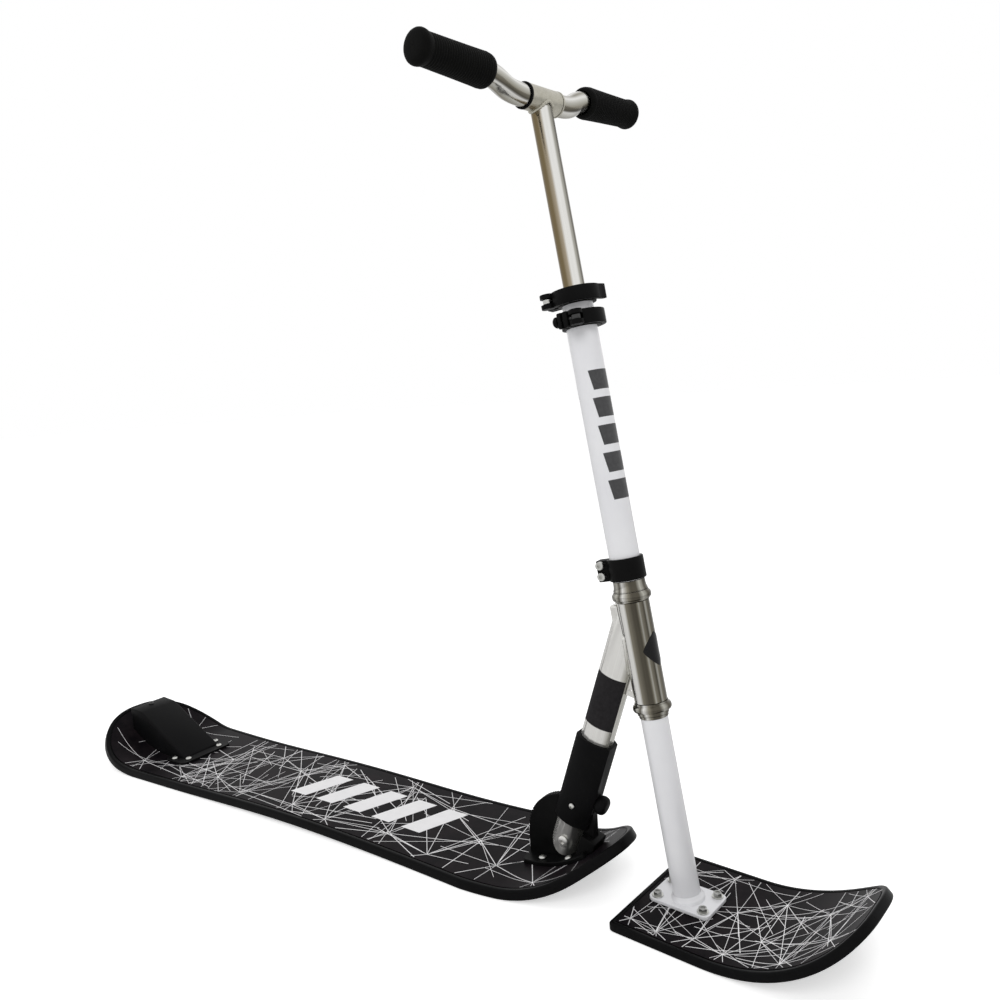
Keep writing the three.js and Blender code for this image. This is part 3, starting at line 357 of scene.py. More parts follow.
board_black, shader, place = surface("board_black", (0.003, 0.003, 0.003), 0.3, gloss=0.05)
scuffs = grain(place, 160, 5, 0.7)
join(scuffs * 0.22 + 0.2, shader.inputs["Roughness"])
join(mixed(scuffs, (0.0015, 0.0015, 0.0015), (0.006, 0.006, 0.0065)), shader.inputs["Base Color"])
join(relief(grain(place, 45, 2) * 0.7 + grain(place, 700, 2) * 0.3, 0.0004, 0.5), shader.inputs["Normal"])

on_ground = Matrix.Translation((foot.x, foot.y, 0))
fitted(
    deck.slab(rimmed(deck, 2.5, 7, 1.4)), "deck_board_shell", board_black, "deck",
    on_ground, ["deck_board"],
)

# Deck sheet. A black plastic film, bonded into the recess inside the border, with a fine
# orange-peel gloss and a faint mottle under the print.
sheet_thickness = 0.8
seat = 0.3


def sheet_layers(board, inset):
    """Layers of a thin film with a softened upper edge."""
    low = board.thickness + seat
    return [(inset, low), (inset, low + 0.6 * sheet_thickness), (inset + 0.3, low + sheet_thickness)]


def printed_film(name):
    """Black film: mottled brown-black under a fine gloss."""
    material, shader, place = surface(name, (0.01, 0.009, 0.01), 0.36, gloss=0.03)
    clouds = grain(place, 38, 6, 0.65)
    tone = clouds.node("ShaderNodeMapRange", None, {"Value": clouds, 1: 0.38, 2: 0.66})
    join(mixed(tone, (0.004, 0.0035, 0.0045), (0.013, 0.01, 0.0115)), shader.inputs["Base Color"])
    join(clouds * 0.2 + 0.26, shader.inputs["Roughness"])
    join(relief(grain(place, 1400, 2), 0.0001, 0.35), shader.inputs["Normal"])
    return material


sheet_black = printed_film("printed_sheet_black")
fitted(
    deck.slab(sheet_layers(deck, 7.4)), "deck_sheet_film", sheet_black, "deck",
    on_ground, ["deck_top_sheet"],
)

# Deck print. Thin straight white lines that cross and meet in bright stars, and plain
# slanted white bars in the middle, screen printed on the film as raised ink.
ink_height = 0.07


def strip(board, corners, top):
    """Ink between four corners given as (along, across), bent with the board's face."""
    a, b, c, d = (Vector(corner) for corner in corners)
    steps = max(2, round(max((b - a).length, (c - d).length) / 5))
    sections = []
    for step in range(steps + 1):
        left = a.lerp(b, step / steps)
        right = d.lerp(c, step / steps)
        sections.append([
            board.point(left.x, left.y, top - 0.3), board.point(right.x, right.y, top - 0.3),
            board.point(right.x, right.y, top + ink_height), board.point(left.x, left.y, top + ink_height),
        ])
    return lofted(sections)


def lofted(sections):
    """A closed skin through sections that have as many points each."""
    around = len(sections[0])
    shape = mapped(len(sections) - 1, around, lambda column, row: sections[column][row % around])
    bmesh.ops.remove_doubles(shape, verts=shape.verts, dist=0.002)
    bmesh.ops.holes_fill(shape, edges=shape.edges, sides=0)
    return shape


def line(board, start, end, width, top, inset):
    """A straight ink line, cut back to where it would leave the film."""
    start, end = Vector(start), Vector(end)
    kept = []
    for step in range(101):
        spot = start.lerp(end, step / 100)
        reach = 0
        if board.rear["start"] - board.rear["length"] + inset < spot.x:
            if spot.x < board.front["start"] + board.front["length"] - inset:
                reach = board.outline(spot.x, 0)[1] - inset
        if abs(spot.y) < reach:
            kept.append(step / 100)
        elif kept:
            break
    if len(kept) < 4:
        return None
    first, last = start.lerp(end, kept[0]), start.lerp(end, kept[-1])
    side = Vector((start.y - end.y, end.x - start.x)).normalized() * width / 2
    return strip(board, (first + side, last + side, last - side, first - side), top)


def star_lines(board, hubs, seed, spread, widths, inset, extra, span):
    """Lines between near hubs and out of each hub, with some loose ones."""
    draw = random.Random(seed)
    top = board.thickness + seat + sheet_thickness
    made = []
    for place_on, across in hubs:
        hub = Vector((place_on, across))
        heading = draw.uniform(0, math.tau)
        for ray in range(draw.randint(5, 8)):
            turn = heading + ray * math.tau / 7 + draw.uniform(-0.3, 0.3)
            length = draw.uniform(0.35, 1.0) * spread
            tip = hub + Vector((math.cos(turn), math.sin(turn))) * length
            made.append((hub, tip, draw.uniform(*widths)))
    for skip in (1, 2):
        for first, second in zip(hubs, hubs[skip:]):
            made.append((Vector(first), Vector(second), draw.uniform(*widths)))
    for _ in range(extra):
        centre = Vector((draw.uniform(*span), draw.uniform(-70, 70)))
        turn = draw.uniform(0, math.pi)
        reach = Vector((math.cos(turn), math.sin(turn))) * draw.uniform(0.2, 0.5) * spread
        made.append((centre - reach, centre + reach, draw.uniform(*widths)))
    strips = [line(board, a, b, width, top, inset) for a, b, width in made]
    return [shape for shape in strips if shape]


def finish(name, clouds, colours, dullness, bumps=None, metallic=0.0, coat=0.0, gloss=0.5):
    """A material whose clouds move its colour and its dullness, over a fine relief."""
    material, shader, place = surface(name, colours[0], dullness[0], metallic, coat, gloss)
    mask = grain(place, *clouds)
    join(mixed(mask, *colours), shader.inputs["Base Color"])
    if len(dullness) > 1:
        join(mask * dullness[1] + dullness[0], shader.inputs["Roughness"])
    if bumps:
        size, depth, strength = bumps
        join(relief(grain(place, *size), depth, strength), shader.inputs["Normal"])
    return material


ink_white = finish("print_white", (90, 4, 0.6), ((0.84, 0.83, 0.84), (0.98, 0.97, 0.98)), (0.35, 0.2))

deck_hubs = [
    (-905, 52), (-878, -62), (-806, -48), (-770, -70), (-748, 8), (-716, -46), (-676, 46),
    (-640, -66), (-612, 22), (-566, 66), (-540, -58), (-470, -66), (-428, 60), (-372, -50),
    (-344, 40), (-300, -64), (-262, -8), (-232, 52), (-214, -44), (-150, -60), (-128, 40),
]
fitted(
    joined(*star_lines(deck, deck_hubs, 11, 150, (0.5, 1.0), 8.5, 64, (-880, -360))),
    "deck_print_lines", ink_white, "deck", on_ground, [],
)
deck_top = deck.thickness + seat + sheet_thickness
slash_count, slash_from, slash_spacing = 5, -575, 51
slash_slant, slash_width, slash_right, slash_left, over_lines = 26, 30, -30, 36, 0.05
slashes = []
for number in range(slash_count):
    near = slash_from + number * slash_spacing
    far = near + slash_slant
    corners = [
        (near, slash_right), (far, slash_left),
        (far + slash_width, slash_left), (near + slash_width, slash_right),
    ]
    slashes.append(strip(deck, corners, deck_top + over_lines))
fitted(joined(*slashes), "deck_print_bars", ink_white, "deck", on_ground, [])

# Heel wedge. A moulded satin black block on the tail that the rear foot pushes against,
# with a flange that follows the board; four round-head bolts and one screw hold it.
wedge_half = 31
wedge_side = [(-817, 16.5), (-921, 72), (-951, 74.5), (-951, -20), (-817, -20)]
wedge_foot = deck_top + seat
flange_from, flange_to, flange_half, flange_thickness, flange_corner = -848, -801, 45, 3, 9


def extruded(outline, low, high):
    """A flat outline in x and y given a height."""
    shape = bmesh.new()
    face = shape.faces.new([shape.verts.new((x, y, low)) for x, y in outline])
    raised = bmesh.ops.extrude_face_region(shape, geom=[face])["geom"]
    lifted = [item for item in raised if isinstance(item, bmesh.types.BMVert)]
    bmesh.ops.translate(shape, vec=(0, 0, high - low), verts=lifted)
    bmesh.ops.recalc_face_normals(shape, faces=shape.faces)
    return shape


def across(outline, half):
    """An outline in x and z given a width across y."""
    shape = extruded(outline, -half, half)
    bmesh.ops.rotate(shape, matrix=Matrix.Rotation(math.pi / 2, 3, "X"), verts=shape.verts)
    return shape


def combined(shape, operation, *tools):
    """Join closed shapes or cut one by the others, with a boolean applied at once."""
    for tool in tools:
        blanks = []
        for part in (shape, tool):
            bmesh.ops.recalc_face_normals(part, faces=part.faces)
            mesh = bpy.data.meshes.new("blank")
            part.to_mesh(mesh)
            part.free()
            blanks.append(bpy.data.objects.new("blank", mesh))
            bpy.context.scene.collection.objects.link(blanks[-1])
        cut = blanks[0].modifiers.new("cut", "BOOLEAN")
        cut.operation = operation
        cut.solver = "EXACT"
        cut.object = blanks[1]
        bpy.context.view_layer.update()
        shape = bmesh.new()
        shape.from_object(blanks[0], bpy.context.evaluated_depsgraph_get())
        for blank in blanks:
            mesh = blank.data
            bpy.data.objects.remove(blank)
            bpy.data.meshes.remove(mesh)
    bmesh.ops.remove_doubles(shape, verts=shape.verts, dist=0.005)
    return shape


def soften(shape, width, corner=crease_angle, segments=3):
    """Round every edge that turns by more than a corner's angle."""
    edges = [
        edge for edge in shape.edges
        if edge.is_manifold and edge.calc_face_angle() > math.radians(corner)
    ]
    bmesh.ops.bevel(
        shape, geom=edges, offset=width, offset_type="OFFSET", segments=segments, profile=0.5,
        affect="EDGES", material=-1, clamp_overlap=True,
    )
    return shape


def bent_plate(start, end, half, thickness, corner_radius):
    """A plate with rounded corners that follows the deck's top face."""
    sections = []
    steps, edge, standoff = 36, 0.8, 0.02
    low = wedge_foot + standoff
    high = low + thickness
    for step in range(steps + 1):
        along = start + (end - start) * (1 - math.cos(math.pi * step / steps)) / 2
        fall = max(corner_radius - min(along - start, end - along), 0)
        reach = half - corner_radius + math.sqrt(corner_radius**2 - fall**2)
        section = [
            (-reach, low), (reach, low), (reach, high - edge), (reach - edge, high), (edge - reach, high),
            (-reach, high - edge),
        ]
        sections.append([deck.point(along, y, height) for y, height in section])
    return lofted(sections)


def deck_space():
    """The space that the dressed deck fills, for cutting what stands on it."""
    return deck.slab([(0, -90), (0, wedge_foot)])


moulded_black = finish(
    "moulded_black", (24, 4, 0.6), ((0.0015, 0.0015, 0.0015), (0.006, 0.006, 0.0065)), (0.32, 0.22),
    ((900, 3, 0.6), 0.00012, 0.5), gloss=0.05,
)
wedge = soften(across(wedge_side, wedge_half), 2.2)
wedge = combined(wedge, "DIFFERENCE", deck_space())
flange = bent_plate(flange_from, flange_to, flange_half, flange_thickness, flange_corner)
fitted(
    joined(wedge, flange), "heel_wedge_moulding", moulded_black, "deck", on_ground,
    ["heel_wedge"],
)

# Bolts of the wedge, the hinge and the sleeve. Round heads with a hexagon socket, cold
# formed in steel and zinc plated, over plain shanks.
head_radius, head_height, shank_radius, socket_radius = 4.4, 2.6, 2.5, 1.7


def revolved(outline, steps=64):
    """Turn an outline of radius and height once round the Z axis."""
    shape = bmesh.new()
    points = [shape.verts.new((radius, 0, height)) for radius, height in outline]
    for first, second in zip(points, points[1:]):
        shape.edges.new((first, second))
    bmesh.ops.spin(
        shape, geom=shape.verts[:] + shape.edges[:], cent=(0, 0, 0), axis=(0, 0, 1),
        angle=math.tau, steps=steps, use_merge=True,
    )
    bmesh.ops.remove_doubles(shape, verts=shape.verts, dist=0.002)
    return shape


def circle(radius, sides):
    """Points spaced evenly round a circle."""
    return [polar(radius, 360 * side / sides) for side in range(sides)]


def hexagon(radius, low, high):
    """A six-sided bar."""
    return extruded(circle(radius, 6), low, high)


def round_bolt(shank, size=1.0):
    """A round-head bolt standing on z = 0."""
    rim = 0.5
    crown = [(head_radius * x, rim + (head_height - rim) * z) for x, z in arc((0, 0), 1, 0, 75, 5)]
    outline = [(0, -shank), (shank_radius, -shank), (shank_radius, 0), (head_radius - 0.3, 0)]
    shape = revolved(outline + crown + [(0, crown[-1][1])], 32)
    shape = combined(shape, "DIFFERENCE", hexagon(socket_radius, 1.1, 9))
    bmesh.ops.scale(shape, vec=(size, size, 1), verts=shape.verts)
    return shape


def turned(shape, matrix):
    """A shape moved by a matrix."""
    bmesh.ops.transform(shape, matrix=matrix, verts=shape.verts)
    return shape


def repeated(make, placements):
    """The same shape at several placements, in one piece."""
    return joined(*[turned(make(), placement) for placement in placements])


def square_to(board, along, side, height):
    """Placement that stands a bolt square on a board's top face."""
    slope = board.bend(along)[2]
    return Matrix.Translation(board.point(along, side, height)) @ Matrix.Rotation(-slope, 4, "Y")


steel = finish(
    "zinc_steel", (420, 4, 0.6), ((0.36, 0.36, 0.34), (0.78, 0.78, 0.75)), (0.18, 0.3),
    ((1800, 2), 0.00005, 0.5), metallic=1.0,
)
dark_steel = finish(
    "blackened_steel", (420, 4, 0.6), ((0.02, 0.02, 0.02), (0.1, 0.1, 0.1)), (0.35,), metallic=1.0,
)

insert_floor = 2.6


def shifted(x, y, z):
    """A shift in millimetres for a placement."""
    return Matrix.Translation((x / 1000, y / 1000, z / 1000))


def deck_bolts(name, spots, top):
    """Four bolts that stand square on the deck and end in its moulded inserts."""
    fitted(
        repeated(lambda: round_bolt(top - insert_floor), [square_to(deck, *spot, top) for spot in spots]),
        f"{name}_set", steel, "deck", on_ground, [f"{name}_{number}" for number in range(1, 5)],
    )


wedge_bolt_spots = [(-811, 28), (-811, -28), (-832, 37.5), (-832, -37.5)]
deck_bolts("heel_wedge_bolt", wedge_bolt_spots, wedge_foot + flange_thickness + seat)
(crest_x, crest_z), (back_x, back_z) = wedge_side[1:3]
wedge_fall = math.atan2(back_z - crest_z, crest_x - back_x)
screw_from_back, top_screw_shank = 10, 9
screw_rise = back_z - screw_from_back * math.tan(wedge_fall) + seat
wedge_screw_at = shifted(back_x + screw_from_back, 0, screw_rise)
fitted(
    round_bolt(top_screw_shank), "heel_wedge_top_screw", dark_steel, "deck",
    on_ground @ wedge_screw_at @ Matrix.Rotation(wedge_fall, 4, "Y"), ["heel_wedge_screw"],
)

# Hinge base. A black powder-coated casting: a plate that follows the board, a quarter disc
# with 34 fine teeth for the fold, a boss for the pivot and a block that the strut leans on.
pivot = Vector(joints["fold"]["pos_m"])
strut_axis = Vector(joints["lock_pull"]["axis"])
lean = math.atan2(strut_axis.x, strut_axis.z)
pivot_x, pivot_z = -141, 45
disc_radius, disc_half, tooth_depth, teeth, disc_from = 51, 5, 1.1, 34, 46
plate_from, plate_to, plate_half, plate_thickness, base_corner = -192, -98, 24, 4.5, 6
boss_radius, boss_half = 8.5, 7.7
stop_near, stop_far, stop_low, stop_high, stop_half = 17.6, 37, -24, 19, 13
notch_radius, notch_depth, notch_overrun, bush_hole = 4.3, 4, 6, 5.8


def rod(radius, low, high, steps=48):
    """A round bar standing on the Z axis."""
    return revolved([(0, low), (radius, low), (radius, high), (0, high)], steps)


def at(x, y, z):
    """A shift for a shape that is still drawn in millimetres."""
    return Matrix.Translation((x, y, z))


def block(x0, x1, y0, y1, z0, z1):
    """A rectangular block between two corners."""
    return extruded([(x0, y0), (x1, y0), (x1, y1), (x0, y1)], z0, z1)


black_metal = finish(
    "black_metal", (60, 5, 0.65), ((0.0015, 0.0015, 0.0015), (0.006, 0.006, 0.006)), (0.28, 0.25),
    ((1300, 2, 0.5), 0.0001, 0.6), gloss=0.06,
)
quarter = [polar(disc_radius, disc_from)]
tooth_turn = (180 - disc_from) / teeth
for tooth in range(teeth):
    for share, drop in ((0.12, 0), (0.5, 0), (0.62, tooth_depth), (1.0, tooth_depth)):
        quarter.append(polar(disc_radius - drop, disc_from + (tooth + share) * tooth_turn))
quarter += [(-disc_radius, 0), (-disc_radius, -pivot_z), (stop_far * math.cos(lean), -pivot_z)]
quarter = [(x + pivot_x, z + pivot_z) for x, z in quarter]
at_pivot = at(pivot_x, 0, pivot_z)
sideways = Matrix.Rotation(math.pi / 2, 4, "X")
upright = Matrix.Rotation(lean, 4, "Y")
stop = soften(block(stop_near, stop_far, -stop_half, stop_half, stop_low, stop_high), 1.5)
casting = combined(
    across(quarter, disc_half), "UNION",
    turned(rod(boss_radius, -boss_half, boss_half), at_pivot @ sideways),
    turned(stop, at_pivot @ upright),
)
casting = combined(
    casting, "DIFFERENCE", deck_space(),
    turned(rod(bush_hole, -30, 30), at_pivot @ sideways),
    *[
        turned(
            rod(notch_radius, disc_radius - notch_depth, disc_radius + notch_overrun),
            at_pivot @ Matrix.Rotation(math.radians(folded), 4, "Y") @ upright,
        )
        for folded in reversed(joints["fold"]["range_deg"])
    ],
)
plate = bent_plate(plate_from, plate_to, plate_half, plate_thickness, base_corner)
fitted(
    joined(soften(casting, 0.4, 50, 1), plate), "hinge_base_casting", black_metal, "deck",
    on_ground, ["hinge_base"],
)
hinge_bolt_spots = [(-167, 13.5), (-167, -13.5), (-123, 18), (-123, -18)]
deck_bolts("hinge_bolt", hinge_bolt_spots, wedge_foot + plate_thickness + seat)

# Strut. An extruded aluminium tube with flat front and back and bulged sides, polished; its
# foot is two round cheeks that straddle the disc, and its top is cut to the head tube.
strut_depth, strut_width, strut_bulge, strut_wall = 34, 26, 25.5, 3.2
slot_half, slot_top, pivot_hole = 5.7, 52, 4.3
lug_near, lug_far, lug_half, lug_low, lug_high = -8, -23.5, 10, 276, 313
stud_at, stud_radius, lock_travel = 59.3, 2.8, 4
column_axis = Vector(joints["steering"]["axis"])
rake = math.atan2(-column_axis.x, column_axis.z)
strut_meets = 306
strut_length = (foot + column_axis * strut_meets / 1000 - pivot).length * 1000


def barrel(depth, width, bulge):
    """Section with flat front and back and bulged sides."""
    centre = width / 2 - bulge
    edge = math.degrees(math.acos(depth / 2 / bulge))
    left = arc((0, centre), bulge, edge, 180 - edge, 20)
    right = arc((0, -centre), bulge, 180 + edge, 360 - edge, 20)
    return left + right


def barrel_bar(depth, width, bulge, low, high):
    """A bar of the barrel section."""
    return extruded(barrel(depth, width, bulge), low, high)


def polished(name, hub, axis, reflection_tones, darker=None, straightened=None):
    """Polished aluminium with painted reflections: light and dark streaks run along a tube, their tones set
    by the angle round its axis.
    """
    material, shader, place = surface(name, (0.8, 0.79, 0.76), 0.16, metallic=1.0)
    turn = axis.to_track_quat("Z", "Y").inverted().to_euler()
    centred = place.node("ShaderNodeVectorMath", {"operation": "SUBTRACT"}, {0: place, 1: hub})
    if straightened:
        centred = straightened(centred)
    aligned = centred.node(
        "ShaderNodeVectorRotate", {"rotation_type": "EULER_XYZ"},
        {"Vector": centred, "Center": (0, 0, 0), "Rotation": turn},
    )
    parts = aligned.node("ShaderNodeSeparateXYZ", None, {"Vector": aligned}).socket.node.outputs
    x, y, z = Value(parts["X"]), Value(parts["Y"]), Value(parts["Z"])
    angle = x.maths("ARCTAN2", y, x)
    around = angle.node(
        "ShaderNodeCombineXYZ", None,
        {"X": angle.maths("COSINE", angle), "Y": angle.maths("SINE", angle), "Z": z * 0.35},
    )
    drift = grain(around, 2.2, 3, 0.6)
    # Painted reflections: the tone is picked by the angle round the tube's axis.
    share = angle * (1 / math.tau) + drift * 0.05 + 0.475
    stops = [(position, (*tone, 1)) for position, tone in reflection_tones]
    tone = share.node("ShaderNodeValToRGB", {"stops": stops}, {"Fac": share})
    fine = grain(around, 30, 3, 0.6)
    # The metal's fine grain darkens the painted reflections in patches.
    reflection_and_grain = tone.node(
        "ShaderNodeMix", {"data_type": "RGBA", "blend_type": "MULTIPLY"},
        {0: 0.55, 6: tone, 7: mixed(fine, (0.45, 0.45, 0.44), (1, 1, 1))}, output=2,
    )
    # Painted shade, mixed in where darker says.
    if darker:
        reflection_and_grain = reflection_and_grain.node(
            "ShaderNodeMix", {"data_type": "RGBA"},
            {0: darker(y, z), 6: reflection_and_grain, 7: (0.03, 0.03, 0.028, 1)}, output=2,
        )
    join(reflection_and_grain, shader.inputs["Base Color"])
    join(fine * 0.16 + 0.1, shader.inputs["Roughness"])
    join(relief(fine + grain(place, 110, 3) * 0.6, 0.00008, 0.4), shader.inputs["Normal"])
    return material


def strut_shade(y, z):
    """Painted shade on the front of the foot under the sleeve: darker towards the front and the bottom."""
    front = y.node("ShaderNodeMapRange", None, {"Value": y, 1: -0.001, 2: -0.007})
    low = z.node("ShaderNodeMapRange", None, {"Value": z, 1: 0.045, 2: 0.03})
    return front * low * 0.85


strut_place = Matrix.Translation(pivot) @ upright
# Painted reflection tones for the polished tubes: bright and half-lit reflections, shade and deep shade.
bright_reflection, half_lit_reflection = (0.86, 0.85, 0.82), (0.5, 0.49, 0.44)
shade, deep_painted_shade = (0.26, 0.24, 0.19), (0.1, 0.09, 0.07)
# Painted reflections round the strut, with painted shade on the front of its foot.
strut_metal = polished("polished_strut", pivot, strut_axis, [
    (0, bright_reflection), (0.12, bright_reflection), (0.17, half_lit_reflection), (0.25, half_lit_reflection), (0.32, bright_reflection), (0.5, half_lit_reflection),
    (0.62, bright_reflection), (0.74, bright_reflection), (0.9, bright_reflection), (1, bright_reflection),
], strut_shade)
strut_metal.node_tree.nodes["Principled BSDF"].inputs["Metallic"].default_value = 0.7
round_foot = turned(rod(strut_depth / 2, -20, 20, 64), sideways)
above = block(-20, 20, -20, 20, 0, strut_length)
tube = combined(
    barrel_bar(strut_depth, strut_width, strut_bulge, -strut_depth / 2 - 1, strut_length),
    "INTERSECT", combined(round_foot, "UNION", above),
)
head_tube_radius = 17
head_place = at(0, 0, strut_length) @ Matrix.Rotation(-rake - lean, 4, "Y")
to_column = head_place @ at(0, 0, -strut_meets)
lug = soften(block(lug_far, lug_near, -lug_half, lug_half, lug_low, lug_high), 3, 40, 4)
tube = combined(tube, "UNION", turned(lug, to_column))


def stud_slot():
    """The slot in which the knob's stud moves with the lock pin."""
    room = stud_radius + seat
    return block(0, 40, -room, room, stud_at - lock_travel - room, stud_at + room)


tube = combined(
    tube, "DIFFERENCE",
    barrel_bar(
        strut_depth - 2 * strut_wall, strut_width - 2 * strut_wall, strut_bulge - strut_wall, -40, 300,
    ),
    block(-40, 40, -slot_half, slot_half, -40, slot_top), stud_slot(),
    turned(rod(head_tube_radius + seat, -300, 300, 64), head_place),
    turned(rod(pivot_hole, -20, 20), sideways),
)
fitted(
    soften(tube, 0.5, 40, 2), "strut_tube", strut_metal, "strut_frame", strut_place,
    ["strut"],
)

# Pivot bolt and its cap nut. Polished steel, with low domed heads on the outside of the two
# cheeks and a hexagon socket in each; the bolt's shank runs through the holes of the cheeks.
cheek_face = 13.3
dome = [(6.2, cheek_face), (6.5, 13.7), (6.4, 14.4), (5.6, 15.1), (4.4, 15.5), (0, 15.5)]


def domed(name, shank, place, stands_for):
    """A domed head with a hexagon socket on the outside of a cheek."""
    shape = combined(revolved(shank + dome), "DIFFERENCE", hexagon(2.4, 14, 20))
    fitted(shape, name, strut_metal, "strut_frame", strut_place @ place, [stands_for])


domed("pivot_bolt_head", [(0, -13), (4, -13), (4, cheek_face)], sideways, "pivot_bolt")
domed("pivot_cap_nut", [(0, cheek_face)], sideways.inverted(), "pivot_nut")

# Sleeve. A satin black moulding pushed over the strut: it covers the hinge, is slotted for
# the disc and for the knob's stud, and is held by a screw on each side.
sleeve_depth, sleeve_width, sleeve_bulge, sleeve_low, sleeve_high = 42, 34, 31.6, 26, 131
side_screw_at, side_screw_shank, side_screw_size = 50, 7.2, 0.77
shell = combined(
    barrel_bar(sleeve_depth, sleeve_width, sleeve_bulge, sleeve_low, sleeve_high), "DIFFERENCE",
    barrel_bar(strut_depth + 2 * seat, strut_width + 2 * seat, strut_bulge + seat, 0, 200),
    block(-40, 40, -slot_half, slot_half, 0, slot_top), stud_slot(),
)
fitted(
    soften(shell, 0.9, 40, 3), "strut_sleeve_moulding", moulded_black, "strut_frame", strut_place,
    ["strut_sleeve"],
)
for side, name in ((1, "left"), (-1, "right")):
    screw_place = (
        strut_place @ shifted(0, side * (sleeve_width / 2 + seat), side_screw_at)
        @ Matrix.Rotation(-side * math.pi / 2, 4, "X")
    )
    fitted(
        round_bolt(side_screw_shank, side_screw_size), f"{name}_sleeve_screw_head", steel,
        "strut_frame", screw_place, [f"{name}_sleeve_screw"],
    )

# Film on the strut. A plain black label film with nothing printed on it, wrapped over the
# bulged side of the strut that faces right and glued on.
film_low, film_high, film_from, film_to = 150, 211, 229, 311
film_centre = (0, strut_bulge - strut_width / 2)
film_outline = arc(film_centre, strut_bulge + 0.15, film_from, film_to, 24)
film_outline += arc(film_centre, strut_bulge - 0.1, film_to, film_from, 24)
film_black = finish(
    "film_black", (260, 4, 0.7), ((0.005, 0.0045, 0.005), (0.028, 0.026, 0.028)), (0.34, 0.3), gloss=0.08,
)
fitted(
    extruded(film_outline, film_low, film_high), "strut_film", film_black,
    "strut_frame", strut_place, [],
)

# Release knob. A turned black plastic knob in front of the sleeve, with finger flutes round
# its rim, fixed on the stud of the lock pin.
knob = revolved([
    (0, 0), (8.2, 0), (9.2, 0.8), (10.3, 3.2), (10.6, 5), (10.3, 8), (9.4, 10), (7.6, 11.4), (5, 12),
    (0, 12),
])
flute_count, flute_radius, flute_ring, knob_face = 12, 1.5, 11.5, 21.3
flutes = []
for step in range(flute_count):
    flute_turn = Matrix.Rotation(math.tau * step / flute_count, 4, "Z")
    flutes.append(turned(rod(flute_radius, -2, 14, 16), flute_turn @ at(flute_ring, 0, 0)))
fitted(
    combined(knob, "DIFFERENCE", *flutes), "release_knob_turned", moulded_black, "lock",
    strut_place @ shifted(knob_face, 0, stud_at) @ Matrix.Rotation(math.pi / 2, 4, "Y"),
    ["release_knob"],
)

# Head tube. Polished aluminium tube, bored for the headset, with a drilled gusset plate in
# the corner under the strut; a weld bead runs round the strut where it meets the tube.
column = Matrix.Translation(foot) @ Matrix.Rotation(-rake, 4, "Y")
head_bore, head_low, head_high = 15, 209.5, 315
gusset_half, gusset_foot, gusset_root, gusset_lip = 2.5, 210.8, -15.6, 5.5
hole_radius, hole_back, hole_rise = 2, -21, 8.8
spread = math.tan(lean + rake)
face_shift = (strut_depth / 2 + seat) / math.cos(lean + rake)
# Painted reflections: light and dark bands round the head tube stand in for what it mirrors.
head_metal = polished("polished_head", foot, column_axis, [
    (0, bright_reflection), (0.1, half_lit_reflection), (0.2, shade), (0.28, bright_reflection), (0.36, half_lit_reflection), (0.4, bright_reflection),
    (0.475, bright_reflection), (0.5, shade), (0.55, deep_painted_shade), (0.6, deep_painted_shade), (0.615, shade), (0.63, half_lit_reflection),
    (0.64, shade), (0.68, deep_painted_shade), (0.7, half_lit_reflection), (0.715, shade), (0.75, deep_painted_shade), (0.82, shade),
    (0.9, bright_reflection), (1, bright_reflection),
])
gusset_top = strut_meets - (face_shift + head_tube_radius) / spread
rear_at = gusset_foot + gusset_lip
gusset = across([
    (gusset_root, gusset_top), (gusset_root, gusset_foot),
    ((rear_at - strut_meets) * spread + face_shift, rear_at), (-head_tube_radius, gusset_top),
], gusset_half)
gusset_hole = turned(rod(hole_radius, -9, 9), at(hole_back, 0, gusset_foot + hole_rise) @ sideways)
gusset = combined(gusset, "DIFFERENCE", gusset_hole)


def pipe(bore, radius, low, high, edge=0.0, steps=96):
    """A tube round the Z axis whose outer corners are cut by an edge."""
    corners = [(radius, low), (radius, high)]
    if edge:
        corners = [(radius - edge, low), (radius, low + edge), (radius, high - edge), (radius - edge, high)]
    return revolved([(bore, low), *corners, (bore, high), (bore, low)], steps)


def swept(points, radius, ripple):
    """A closed weld bead through a loop of points, with the ripples of its passes."""
    count = len(points)
    sections = []
    for step, point in enumerate(points):
        ahead = (points[(step + 1) % count] - points[step - 1]).normalized()
        if step == 0:
            side = ahead.orthogonal()
        side = (side - side.dot(ahead) * ahead).normalized()
        up = ahead.cross(side)
        bead = radius * (1 + ripple * math.sin(step * 2.1))
        sections.append([point + side * x + up * y for x, y in circle(bead, 10)])
    shape = mapped(count, 10, lambda column, row: sections[column % count][row % 10])
    bmesh.ops.remove_doubles(shape, verts=shape.verts, dist=0.002)
    return shape


to_head = column.inverted() @ strut_place
head_turn, head_shift = to_head.to_quaternion(), to_head.to_translation() * 1000
loop = []
section = barrel(strut_depth + 0.8, strut_width + 0.8, strut_bulge + 0.4)
for start, end in zip(section, section[1:] + section[:1]):
    for share in (0, 0.34, 0.67):
        spot = Vector(start).lerp(Vector(end), share)
        for rise in range(1400, 2600):
            point = head_turn @ Vector((spot.x, spot.y, rise / 10)) + head_shift
            if math.hypot(point.x, point.y) <= head_tube_radius + 0.3:
                loop.append(point)
                break
tube = pipe(head_bore, head_tube_radius, head_low, head_high, 0.4)
weld_radius, weld_ripple = 1.5, 0.12
weld = swept(loop, weld_radius, weld_ripple)
fitted(
    joined(tube, gusset, weld), "head_tube_welded", head_metal, "strut_frame", column,
    ["head_tube"],
)

# Badge. A plain black lozenge of thin plastic, bent round the front of the head tube and
# glued on; nothing is printed on it.
badge_height, badge_reach, badge_at, badge_thickness = 17.5, 58, 264, 0.5


